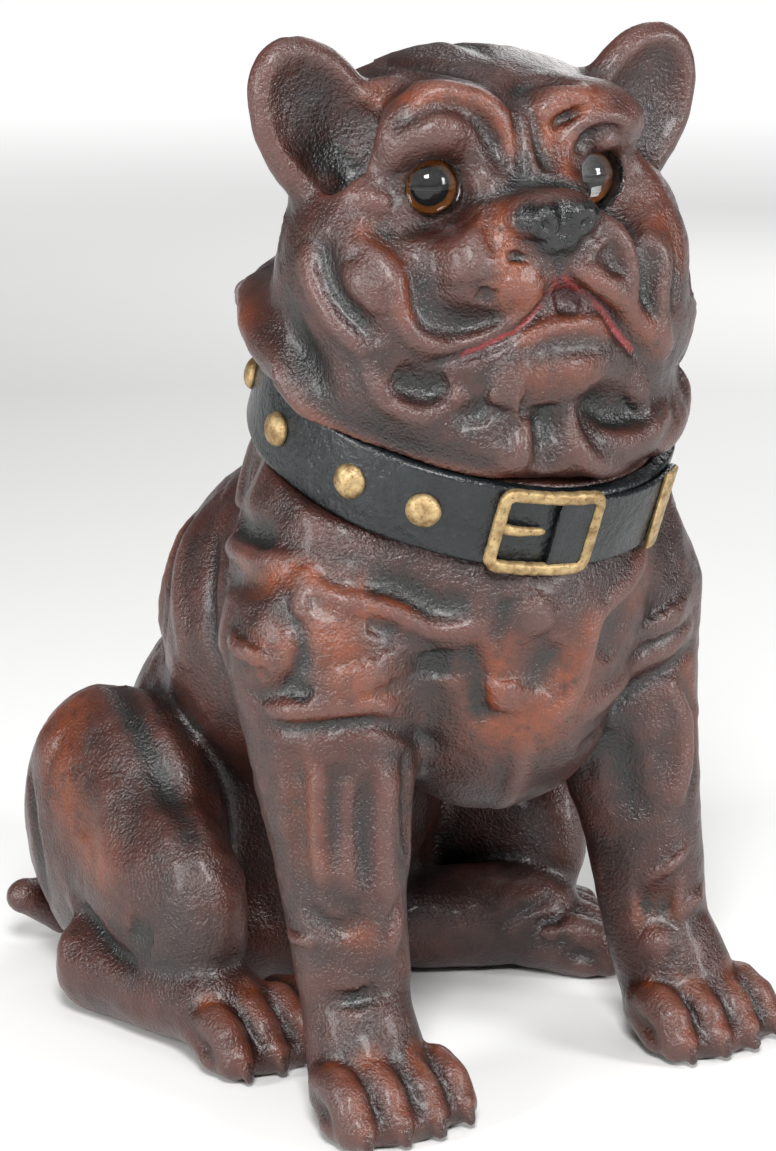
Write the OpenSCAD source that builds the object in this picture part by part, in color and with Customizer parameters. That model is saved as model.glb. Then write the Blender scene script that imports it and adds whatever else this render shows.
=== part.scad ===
/* [Bank] */
// Height from the floor to the ear tips
bank_height = 240; // [216:1:264]
// Wall of the four castings
wall = 5; // [4:0.5:6]

/* [Coin slot] */
// Length of the coin slot
slot_length = 38; // [30:1:42]
// Width of the coin slot
slot_width = 5; // [4.5:0.25:6]

/* [Eyes] */
// Across a glass eye
eye_diameter = 12; // [10:0.5:13]
// How far a glass eye stands out of its socket
eye_dome = 3.4; // [2:0.2:4]

/* [Collar] */
// Width of the strap
strap_width = 19; // [16:0.5:20]
// Thickness of the strap
strap_thick = 3.6; // [3:0.2:4]
// Across a stud
stud_diameter = 8; // [6:0.5:9]
// Bars of the buckle and the keeper
bar = 2.8; // [2.2:0.2:3.2]

/* [Coin trap] */
// Across the trap cover
trap_diameter = 40; // [38:1:42]
// How far the trap cover lifts out
trap_travel = 30; // [20:1:40]

/* [Hidden] */

nominal_height = 240;      // every size below is for a bank of this height
facets = 18;
round_facets = 48;
gap = 0.3;                 // between pieces that only meet
running = 0.05;            // round a pin that turns
far = 200;                 // past the whole bank

// The dog faces -Y, its left side is +X
body_seam = -8;
head_at = [0, -24, 196];
head_turn = -10;
head_seam = -10;           // where the seam stands at head_screw_height; it leans forward below
head_seam_lean = 17.7;
neck_at = [0, -33, 148];
neck_turn = [19, 6.5, head_turn];

// Neck joint, in the neck's own frame
neck_radius = 44;
spigot_radius = 36.4;
flange_radius = 39.6;
flange_top = -4;
flange_bottom = -8;
strap_top = strap_width / 2;
strap_inner = neck_radius + gap;
strap_outer = strap_inner + strap_thick;
front = -90;               // the buckle's place round the neck
stud_angles = [-205, -173, -144, -123];
buckle_half_angle = 15.5;
keeper_angle = 43;

// Trap, at the middle of the flat under the rump
trap_at = [0, 40, 0];
floor_thick = 6.5;
recess_depth = 4;
cover_thick = 2;
cover_bottom = recess_depth - cover_thick - 0.1;
cover_top = cover_bottom + cover_thick;
trap_hole = [30, 22];
latch_size = [28, 8, 2];
latch_bottom = floor_thick + 0.4;
rivet_radius = 2;

// Long screws
body_screw_height = 84;
body_screw_seat = 62;
head_screw_height = 10;
head_screw_seat = 18;
screw_radius = 2;
screw_head = [4.6, 3];

slot_height = 116;
eye_at = [19.4, -36.5, 10];
eye_turn = [90, 0, 12];

module at_size() scale(bank_height / nominal_height) children();
module place_neck() translate(neck_at) rotate(neck_turn) children();
module place_head() translate(head_at) rotate([0, 0, head_turn]) children();
module both_sides() for (side = [-1, 1]) scale([side, 1, 1]) children();
module before(y) translate([-far, y - 2 * far, -far]) cube(2 * far);
module behind(y) translate([-far, y, -far]) cube(2 * far);
module head_front() translate([0, head_seam, head_screw_height]) rotate([-head_seam_lean, 0, 0]) before(0);
module head_back() translate([0, head_seam, head_screw_height]) rotate([-head_seam_lean, 0, 0]) behind(0);
module above_floor(z = 0) translate([-far, -far, z]) cube(2 * far);

// A rounded lump with three half widths, turned in place
module lump(at, size, turn = [0, 0, 0], grow = 0)
    translate(at) rotate(turn) hull() scale([for (half = size) half + grow]) sphere(r = 1, $fn = facets);

// A chain of balls, each joined to the next
module limb(points, radii, sides = facets)
    for (i = [0 : len(points) - 2]) hull() {
        translate(points[i]) sphere(r = radii[i], $fn = sides);
        translate(points[i + 1]) sphere(r = radii[i + 1], $fn = sides);
    }

// A rod along Y from one place to another, at a height
module along_y(low, high, height, radius, sides)
    translate([0, high, height]) rotate([90, 0, 0]) cylinder(r = radius, h = high - low, $fn = sides);

// A round tube or disc from one height to another
module ring(outer, inner, low, high)
    translate([0, 0, low]) difference() {
        cylinder(r = outer, h = high - low, $fn = round_facets);
        if (inner > 0) translate([0, 0, -1]) cylinder(r = inner, h = high - low + 2, $fn = round_facets);
    }

// Part of a ring round the neck, centred on an angle
module arc(inner, outer, height, middle, half_angle)
    rotate([0, 0, middle - half_angle]) rotate_extrude(angle = 2 * half_angle, $fn = round_facets)
        translate([inner, -height / 2]) square([outer - inner, height]);

// ---- body ----

module torso(grow = 0) {
    lump([0, -38, 112], [43, 37, 38], grow = grow);
    lump([0, -44, 88], [29, 27, 27], grow = grow);
    lump([0, 12, 94], [46, 42, 46], [28, 0, 0], grow = grow);
    lump([0, -14, 104], [45, 36, 42], grow = grow);
    lump([0, 42, 50], [41, 40, 46], grow = grow);
    lump([0, 40, 16], [38, 35, 22], grow = grow);
    both_sides() lump([36, -32, 114], [20, 26, 36], grow = grow);
}

module haunches(grow = 0) both_sides() lump([46, 42, 40], [19, 37, 36], grow = grow);

module paw(at, turn) translate(at) rotate([0, 0, turn]) {
    for (toe = [-1.5 : 1 : 1.5])
        limb([[toe * 8, 10, 10], [toe * 9.3, -4, 11], [toe * 9.3, -11, 4]], [6.5, 6, 4.4], 12);
}

module forelegs() {
    limb([[-40, -38, 104], [-42, -44, 76], [-43, -49, 48], [-43, -53, 26], [-44, -59, 13]],
         [24, 18, 14, 12.5, 13.5]);
    limb([[37, -38, 104], [39, -44, 76], [42, -49, 48], [43, -53, 26], [45, -59, 13]],
         [24, 18, 14, 12.5, 13.5]);
    paw([-45, -68, 0], 0);
    paw([45, -67, 0], 4);
}

module hind_legs() {
    lump([-52, 14, 32], [14, 30, 26]);
    lump([52, 18, 32], [14, 28, 26]);
    limb([[-59, 30, 11.7], [-52, -10, 12]], [12, 11]);
    paw([-46, -17, 0], 8);
    limb([[14, 14, 12.6], [44, -2, 13.4]], [12, 13]);
    paw([53, -6, 0], 62);
}

module tail() limb([[-24, 62, 12], [-42, 79, 9], [-54, 79, 14]], [10, 7, 4.5], 14);

module neck_stump() place_neck() ring(neck_radius, 0, -32, strap_top + 1);

module body_hollow() intersection() {
    union() {
        torso(-wall);
        haunches(-wall);
        place_neck() ring(spigot_radius + 0.4, 0, -34, strap_top + 3);
    }
    above_floor(floor_thick);
}

// What is taken away from both body castings
module body_clearance() {
    body_hollow();
    place_neck() {
        ring(flange_radius + 0.4, 0, flange_bottom - 0.3, flange_top + 0.3);
        ring(neck_radius + 16, neck_radius, -strap_top - gap, 60);
        ring(neck_radius + 16, 0, strap_top - 0.5, 60);
    }
}

module chest_casting() at_size() color([0.36, 0.17, 0.13]) intersection() {
    difference() {
        union() {
            difference() {
                union() {
                    intersection() {
                        union() {
                            torso();
                            neck_stump();
                        }
                        before(body_seam);
                    }
                    forelegs();
                }
                body_clearance();
            }
            // boss that the long screw is threaded into
            along_y(-68, -40, body_screw_height, 7, 24);
        }
        hind_legs();
        haunches();
        along_y(-62, -39, body_screw_height, screw_radius + 0.2, 24);
    }
    above_floor();
}

module back_casting() at_size() color([0.36, 0.17, 0.13]) intersection() {
    difference() {
        union() {
            intersection() {
                union() {
                    torso();
                    neck_stump();
                }
                behind(body_seam);
            }
            haunches();
            hind_legs();
            tail();
        }
        body_clearance();
        // coin slot
        translate([-slot_length / 2, body_seam + 20, slot_height - slot_width / 2])
            cube([slot_length, far, slot_width]);
        // long screw's hole and sunk seat
        along_y(20, far, body_screw_height, screw_radius + 0.4, 24);
        along_y(body_screw_seat, far, body_screw_height, screw_head[0] + 0.6, 32);
        // trap recess and hole
        translate([trap_at[0], trap_at[1], -1]) {
            cylinder(r = trap_diameter / 2 + 0.4, h = recess_depth + 1, $fn = round_facets);
            translate([0, 0, floor_thick / 2 + 1]) cube([trap_hole[0], trap_hole[1], 3 * floor_thick], center = true);
        }
    }
    above_floor();
}

// ---- head, in its own frame ----

module skull(grow = 0) {
    lump([0, -12, 12], [38, 34, 26], grow = grow);
    both_sides() lump([23, -22, -14], [25, 30, 34], grow = grow);
    lump([0, -17, -33], [45, 37, 18], grow = grow);
    lump([0, 16, -22], [42, 36, 28], grow = grow);
}

module features() {
    lump([0, -42, -4], [23, 15, 19]);
    both_sides() lump([13, -46, -8], [13, 11, 13]);
    lump([0, -52, 6], [10, 6.5, 7]);
    lump([0, -46, -27], [22, 13, 14]);
    both_sides() lump([18, -36, 24], [14, 9, 8], [0, -12, 0]);
}

module ears() both_sides() difference() {
    lump([38.5, -20, 22.5], [14, 6.5, 20.5], [0, 30, 0]);
    lump([40.5, -27, 24.5], [10, 7, 15.5], [0, 30, 0]);
}

// Loose skin that hangs over the collar, in the neck's frame
module rim() lump([-3, 2, 16], [53, 50, 16]);

// Room for the collar, and for the inside of the neck
module head_clearance() place_neck() {
    ring(strap_outer + 1, spigot_radius, -60, strap_top + gap);
    ring(neck_radius + 40, flange_radius, -120, -strap_top / 2);
    ring(neck_radius + 40, 0, -120, flange_bottom);
    ring(flange_radius + 2, spigot_radius, flange_top, strap_top + gap);
    ring(spigot_radius - wall, 0, -60, strap_top + 12);
}

module head_shell() difference() {
    union() {
        place_head() {
            skull();
            features();
            ears();
        }
        place_neck() {
            rim();
            ring(flange_radius, 0, flange_bottom, strap_top + wall);
        }
    }
    intersection() {
        place_head() {
            skull(-wall);
            lump([0, -12, -6], [36, 32, 34], grow = -wall);
        }
        place_neck() ring(neck_radius + 40, 0, strap_top + gap + wall, 120);
    }
    head_clearance();
}

module eye_place(side) place_head() scale([side, 1, 1]) translate(eye_at) rotate(eye_turn) children();

module face_casting() at_size() color([0.38, 0.18, 0.13]) difference() {
    intersection() {
        union() {
            head_shell();
            intersection() {
                place_head() {
                    along_y(-50, -22, head_screw_height, 6, 24);
                    both_sides() translate(eye_at) rotate(eye_turn)
                        translate([0, 0, -9]) cylinder(r = eye_diameter / 2 + 4, h = 10, $fn = 24);
                }
                place_head() union() {
                    skull();
                    features();
                }
            }
        }
        place_head() head_front();
    }
    place_head() along_y(-44, -21, head_screw_height, screw_radius + 0.2, 24);
    for (side = [-1, 1]) eye_place(side)
        translate([0, 0, -7]) cylinder(r = eye_diameter / 2 + gap, h = 30, $fn = 48);
}

module nape_casting() at_size() color([0.38, 0.18, 0.13]) difference() {
    intersection() {
        head_shell();
        place_head() head_back();
    }
    place_head() {
        along_y(0, far, head_screw_height, screw_radius + 0.4, 24);
        along_y(head_screw_seat, far, head_screw_height, screw_head[0] + 0.6, 32);
    }
}

// ---- screws ----

// Slotted screw pointing along -Y, its head's underside at the origin
module long_screw(length) rotate([90, 0, 0]) {
    cylinder(r = screw_radius, h = length, $fn = 32);
    difference() {
        translate([0, 0, -screw_head[1]]) cylinder(r = screw_head[0], h = screw_head[1], $fn = 32);
        translate([-screw_head[0] - 1, -0.6, -screw_head[1] - 1]) cube([2 * screw_head[0] + 2, 1.2, 2.2]);
    }
}

module body_screw() at_size() color([0.6, 0.58, 0.52])
    translate([0, body_screw_seat, body_screw_height]) long_screw(body_screw_seat + 58);

module head_screw() at_size() color([0.6, 0.58, 0.52])
    place_head() translate([0, head_screw_seat, head_screw_height]) long_screw(head_screw_seat + 42);

// ---- collar ----

// Places of the studs, each with +Z pointing out of the strap
module at_studs() for (angle = stud_angles)
    rotate([0, 0, angle]) translate([strap_outer - 0.3, 0, 0]) rotate([0, 90, 0]) children();

module collar_strap() at_size() color([0.09, 0.11, 0.12]) place_neck() difference() {
    ring(strap_outer, strap_inner, -strap_top, strap_top);
    at_studs() cylinder(r = stud_diameter / 2 + 0.1, h = 4, $fn = 32);
}

module strap_end() at_size() color([0.09, 0.11, 0.12]) place_neck()
    arc(strap_outer, strap_outer + 1.6, strap_width - 2, front + 36, 36 - buckle_half_angle);

module strap_keeper() at_size() color([0.72, 0.57, 0.32]) place_neck()
    arc(strap_outer + 1.6, strap_outer + 2.8, strap_width, front + keeper_angle, 3.4);

module collar_studs() at_size() color([0.72, 0.57, 0.32]) place_neck()
    at_studs() rotate_extrude($fn = 32) intersection() {
        translate([0, 0.2]) scale([1, 0.7]) circle(r = stud_diameter / 2, $fn = 32);
        square(stud_diameter);
    }

module buckle_frame() at_size() color([0.72, 0.57, 0.32]) place_neck() difference() {
    arc(strap_outer, strap_outer + bar, strap_width + 1.5, front, buckle_half_angle - 0.4);
    arc(strap_outer - 1, strap_outer + bar + 1, strap_width + 1.5 - 2 * bar, front, buckle_half_angle - 4);
}

module buckle_prong() at_size() color([0.72, 0.57, 0.32]) place_neck()
    arc(strap_outer, strap_outer + bar - 0.6, bar, front - 7.5, 3.9);

// ---- eyes ----

module eye_glass(side) at_size() color([0.75, 0.8, 0.85, 0.5]) eye_place(side) intersection() {
    translate([0, 0, -eye_ball() + eye_dome]) sphere(r = eye_ball(), $fn = 48);
    translate([0, 0, -1.6]) cylinder(r = eye_diameter / 2, h = 10, $fn = 48);
}
function eye_ball() = ((eye_diameter / 2) * (eye_diameter / 2) + eye_dome * eye_dome) / (2 * eye_dome) + 0.4;

module eye_iris(side) at_size() color([0.45, 0.22, 0.05]) eye_place(side)
    translate([0, 0, -2.4]) cylinder(r = eye_diameter / 2 - 0.2, h = 0.8, $fn = 48);

module eye_putty(side) at_size() color([0.8, 0.76, 0.65]) eye_place(side)
    translate([0, 0, -6.8]) cylinder(r = eye_diameter / 2, h = 4.4, $fn = 48);

// ---- coin trap ----

module trap_cover() at_size() color([0.2, 0.2, 0.2]) translate([trap_at[0], trap_at[1], cover_bottom])
    difference() {
        cylinder(r = trap_diameter / 2, h = cover_thick, $fn = round_facets);
        translate([0, 0, -1]) cylinder(r = rivet_radius + running, h = cover_thick + 2, $fn = 32);
    }

module trap_latch() at_size() color([0.45, 0.45, 0.43]) translate(trap_at) difference() {
    union() {
        translate([0, 0, latch_bottom + latch_size[2] / 2]) cube(latch_size, center = true);
        translate([0, 0, cover_top + 0.5]) cylinder(r = 4, h = latch_bottom - cover_top, $fn = 32);
    }
    cylinder(r = rivet_radius + running, h = 20, $fn = 32);
}

module trap_washer() at_size() color([0.7, 0.7, 0.68]) translate([trap_at[0], trap_at[1], cover_top])
    ring(4.6, rivet_radius + running, 0.05, 0.45);

module trap_rivet() at_size() color([0.6, 0.58, 0.52]) translate(trap_at) {
    difference() {
        translate([0, 0, cover_bottom - 1.25]) cylinder(r = 5, h = 1.2, $fn = 32);
        translate([-6, -0.6, cover_bottom - 2.4]) cube([12, 1.2, 1.7]);
    }
    translate([0, 0, cover_bottom - 0.5]) cylinder(r = rivet_radius, h = latch_bottom + latch_size[2] - cover_bottom + 0.5, $fn = 32);
    translate([0, 0, latch_bottom + latch_size[2]]) cylinder(r = 3.2, h = 1, $fn = 32);
}

chest_casting();
back_casting();
face_casting();
nape_casting();
body_screw();
head_screw();
collar_strap();
strap_end();
strap_keeper();
collar_studs();
buckle_frame();
buckle_prong();
eye_glass(-1);  // eye_glass_right
eye_glass(1);  // eye_glass_left
eye_iris(-1);  // eye_iris_right
eye_iris(1);  // eye_iris_left
eye_putty(-1);  // eye_putty_right
eye_putty(1);  // eye_putty_left
trap_cover();
trap_latch();
trap_washer();
trap_rivet();
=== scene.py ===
import math
import bpy
import bmesh
import numpy as np
import openvdb
from mathutils import Euler, Matrix, Vector


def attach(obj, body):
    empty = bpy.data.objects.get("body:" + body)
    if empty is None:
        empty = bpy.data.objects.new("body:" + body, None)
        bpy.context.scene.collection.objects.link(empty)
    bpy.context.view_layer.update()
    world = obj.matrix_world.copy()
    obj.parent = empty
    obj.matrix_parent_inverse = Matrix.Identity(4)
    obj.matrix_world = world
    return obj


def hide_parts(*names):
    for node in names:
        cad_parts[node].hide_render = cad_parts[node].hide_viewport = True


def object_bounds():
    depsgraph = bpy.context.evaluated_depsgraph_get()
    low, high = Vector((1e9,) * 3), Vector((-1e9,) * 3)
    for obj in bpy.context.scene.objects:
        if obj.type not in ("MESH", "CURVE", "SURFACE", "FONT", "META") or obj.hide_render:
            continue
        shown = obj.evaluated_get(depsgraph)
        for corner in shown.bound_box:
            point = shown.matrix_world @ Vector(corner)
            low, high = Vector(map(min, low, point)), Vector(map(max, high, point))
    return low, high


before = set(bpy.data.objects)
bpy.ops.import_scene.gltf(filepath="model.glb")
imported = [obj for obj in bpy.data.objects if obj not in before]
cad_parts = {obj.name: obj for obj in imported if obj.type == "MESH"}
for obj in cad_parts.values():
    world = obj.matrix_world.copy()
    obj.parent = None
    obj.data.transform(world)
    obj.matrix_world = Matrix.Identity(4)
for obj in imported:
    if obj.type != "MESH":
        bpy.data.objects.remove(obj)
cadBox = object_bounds()

# The bank is modelled in millimetres at its usual height, then brought to the height of the frame
bank = {
    "usualHeight": 237.4,
    "wall": 5,
    "leastWall": 3,
    "mostFaces": 190000,
    "floorThick": 6.5,
    "bodySeam": -8,
    "seamGap": 0.2,
    "headSeamGap": 0.35,
}
unit = (cadBox[1][2] - cadBox[0][2]) / bank["usualHeight"]


def placed(at, turn=(0, 0, 0)):
    # A frame at a place, turned by degrees
    return Matrix.Translation(at) @ Euler([math.radians(angle) for angle in turn]).to_matrix().to_4x4()


headFrame = placed((0, -24, 196), (0, 0, -10))
neckFrame = placed((0, -33, 148), (19, 6.5, -10))
neckInHead = headFrame.inverted() @ neckFrame
plain = Matrix.Identity(4)

neck = {
    "radius": 44,
    "spigot": 36.4,
    "flange": 39.6,
    "strapTop": 9.5,
    "strapInner": 44.3,
    "strapOuter": 47.9,
    "gap": 0.3,
}

screwHole = {
    "radius": 2.4,
    "seatRadius": 5.2,
    "reach": 60,
}


class Clay:
    # Below 0 is inside. Places and sizes are in millimetres.
    def __init__(self, low, high, cell):
        self.low = np.array(low, float)
        self.cell = cell
        self.field = np.full(np.ceil((np.array(high) - self.low) / cell).astype(int) + 1, 40, np.float32)

    def window(self, low, high):
        first = np.floor((np.array(low) - self.low) / self.cell).astype(int)
        last = np.ceil((np.array(high) - self.low) / self.cell).astype(int) + 1
        first = np.clip(first, 0, self.field.shape)
        last = np.clip(last, first, self.field.shape)
        axes = [self.low[i] + self.cell * np.arange(first[i], last[i], dtype=np.float32) for i in range(3)]
        part = tuple(slice(a, b) for a, b in zip(first, last))
        return part, np.meshgrid(*axes, indexing="ij", sparse=True)

    def everywhere(self):
        return self.window(self.low, self.low + self.cell * (np.array(self.field.shape) - 1))

    def join(self, part, shape, blend, cut=False):
        old = -self.field[part] if cut else self.field[part]
        share = np.clip(0.5 + 0.5 * (old - shape) / blend, 0, 1)
        new = old * (1 - share) + shape * share - blend * share * (1 - share)
        self.field[part] = -new if cut else new

    def lump(self, at, half, turn=(0, 0, 0), blend=5, cut=False, grow=0):
        # An egg with three half widths, turned in place
        half = np.array(half, float) + grow
        reach = half.max() + 2 * blend + 4
        part, grid = self.window(np.array(at) - reach, np.array(at) + reach)
        spin = np.array(Euler([math.radians(angle) for angle in turn]).to_matrix())
        local = [sum(spin[j, i] * (grid[j] - at[j]) for j in range(3)) for i in range(3)]
        near = np.sqrt(sum((local[i] / half[i]) ** 2 for i in range(3)))
        slope = np.sqrt(sum((local[i] / half[i] ** 2) ** 2 for i in range(3)))
        self.join(part, near * (near - 1) / np.maximum(slope, 1e-4), blend, cut)

    def limb(self, points, radii, blend=4):
        # A chain of balls, each joined to the next
        points = np.array(points, float)
        reach = max(radii) + 2 * blend + 4
        part, grid = self.window(points.min(0) - reach, points.max(0) + reach)
        shape = None
        for a, b, ra, rb in zip(points[:-1], points[1:], radii[:-1], radii[1:]):
            along = b - a
            share = sum((grid[i] - a[i]) * along[i] for i in range(3)) / (along @ along)
            share = np.clip(share, 0, 1)
            away = np.sqrt(sum((grid[i] - a[i] - share * along[i]) ** 2 for i in range(3)))
            away = away - (ra + (rb - ra) * share)
            shape = away if shape is None else np.minimum(shape, away)
        self.join(part, shape, blend)

    def ring(self, place, outer, inner, low, high, blend=0.3, cut=False):
        # A tube or disc round the Z axis of a placed frame
        part, grid = self.everywhere()
        back = np.array(place.inverted())
        x, y, z = [sum(back[i, j] * grid[j] for j in range(3)) + back[i, 3] for i in range(3)]
        radius = np.sqrt(x * x + y * y)
        shape = np.maximum(radius - outer, np.maximum(low - z, z - high))
        if inner > 0:
            shape = np.maximum(shape, inner - radius)
        self.join(part, shape, blend, cut)

    def block(self, low, high, blend=0.3, cut=False):
        part, grid = self.window(np.array(low) - 6, np.array(high) + 6)
        shape = np.maximum(low[0] - grid[0], grid[0] - high[0])
        for i in (1, 2):
            shape = np.maximum(shape, np.maximum(low[i] - grid[i], grid[i] - high[i]))
        self.join(part, shape, blend, cut)

    def depth(self, places):
        # Distance to the surface at any places
        spot = (places - self.low) / self.cell
        spot = np.clip(spot, 0, np.array(self.field.shape) - 1.001)
        corner = spot.astype(int)
        share = spot - corner
        total = 0
        for step in np.ndindex(2, 2, 2):
            weight = np.prod(np.where(step, share, 1 - share), axis=-1)
            total = total + weight * self.field[tuple((corner + step).T)]
        return total

    def slope(self, places):
        steps = np.eye(3) * self.cell
        rises = [self.depth(places + step) - self.depth(places - step) for step in steps]
        return np.stack(rises, -1) / (2 * self.cell)

    def settle(self, points):
        # A smooth line through the points, laid on the surface.
        # Points with two values are seen from the front.
        line = smoothLine(points)
        if line.shape[1] == 2:
            line = np.stack([line[:, 0], np.full(len(line), self.low[1]), line[:, 1]], -1)
            for step in range(60):
                line[:, 1] += np.clip(self.depth(line), 0, 4) * 0.8
        for step in range(4):
            slope = self.slope(line)
            steep = np.maximum((slope ** 2).sum(-1, keepdims=True), 0.1)
            line = line - np.clip(self.depth(line)[:, None] * slope / steep, -3, 3)
        return line

    def fold(self, width, height, points):
        # Raises a ridge on the surface along a line, or presses a groove where the height is below 0
        fadeShare = 0.35
        line = self.settle(points)
        part, grid = self.window(line.min(0) - 2.6 * width, line.max(0) + 2.6 * width)
        near = np.abs(self.field[part]) < 6
        cells = np.stack([np.broadcast_to(axis, near.shape)[near] for axis in grid], -1).astype(np.float32)
        line = line.astype(np.float32)
        best = np.full(len(cells), 1e6, np.float32)
        where = np.zeros(len(cells), int)
        for index, spot in enumerate(line):
            gone = ((cells - spot) ** 2).sum(-1)
            closer = gone < best
            best[closer] = gone[closer]
            where[closer] = index
        along = where / max(len(line) - 1, 1)
        fade = np.clip(np.minimum(along, 1 - along) / fadeShare, 0, 1)
        fade = 1 if len(line) < 3 else fade * (2 - fade)
        values = self.field[part]
        values[near] -= (height * fade * np.exp(-best / width ** 2)).astype(np.float32)

    def roughen(self, amount, size, seed):
        # Slow unevenness of a hand-finished casting
        dice = np.random.default_rng(seed)
        extent = np.array(self.field.shape) * self.cell / size
        coarse = dice.normal(size=np.ceil(extent).astype(int) + 2).astype(np.float32)
        for axis in range(3):
            spot = np.arange(self.field.shape[axis]) * self.cell / size
            first = spot.astype(int)
            share = spot - first
            share = (share * share * (3 - 2 * share)).astype(np.float32)
            share = share.reshape([-1 if i == axis else 1 for i in range(3)])
            coarse = np.take(coarse, first, axis) * (1 - share) + np.take(coarse, first + 1, axis) * share
        self.field += amount * coarse

    def softened(self, reach):
        # The field averaged over a box of this reach, three times
        steps = max(1, round(reach / self.cell))
        soft = np.clip(self.field, -12, 12)
        for axis in (0, 1, 2) * 3:
            padded = np.concatenate([np.take(soft, [0] * (steps + 1), axis), soft,
                                     np.take(soft, [-1] * steps, axis)], axis)
            total = np.cumsum(padded, axis, dtype=np.float64)
            size = soft.shape[axis]
            upper = np.take(total, np.arange(size) + 2 * steps + 1, axis)
            lower = np.take(total, np.arange(size), axis)
            soft = ((upper - lower) / (2 * steps + 1)).astype(np.float32)
        return soft

    def withField(self, field):
        # Other values on the same grid
        twin = Clay.__new__(Clay)
        twin.low = self.low
        twin.cell = self.cell
        twin.field = field
        return twin

    def copy(self):
        return self.withField(self.field.copy())

    def skin(self):
        # The surface as places and four-sided faces
        band = 3 * self.cell
        grid = openvdb.FloatGrid(band)
        grid.copyFromArray(np.clip(self.field, -band, band).astype(np.float32))
        places, threes, fours = grid.convertToPolygons(isovalue=0.0, adaptivity=0.0)
        return np.array(places) * self.cell + self.low, np.array(fours)[:, ::-1]


def smoothLine(points, step=1.0):
    points = np.array(points, float)
    if len(points) < 2:
        return points
    ends = [2 * points[0] - points[1], 2 * points[-1] - points[-2]]
    points = np.concatenate([ends[:1], points, ends[1:]])
    pieces = []
    for a, b, c, d in zip(points[:-3], points[1:-2], points[2:-1], points[3:]):
        count = max(2, int(np.linalg.norm(c - b) / step))
        t = np.arange(count)[:, None] / count
        pieces.append(0.5 * (2 * b + (c - a) * t + (2 * a - 5 * b + 4 * c - d) * t ** 2
                             + (3 * b - a - 3 * c + d) * t ** 3))
    return np.concatenate(pieces + [points[-2:-1]])


def mirrored(points):
    return [(-p[0],) + tuple(p[1:]) for p in points]


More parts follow.
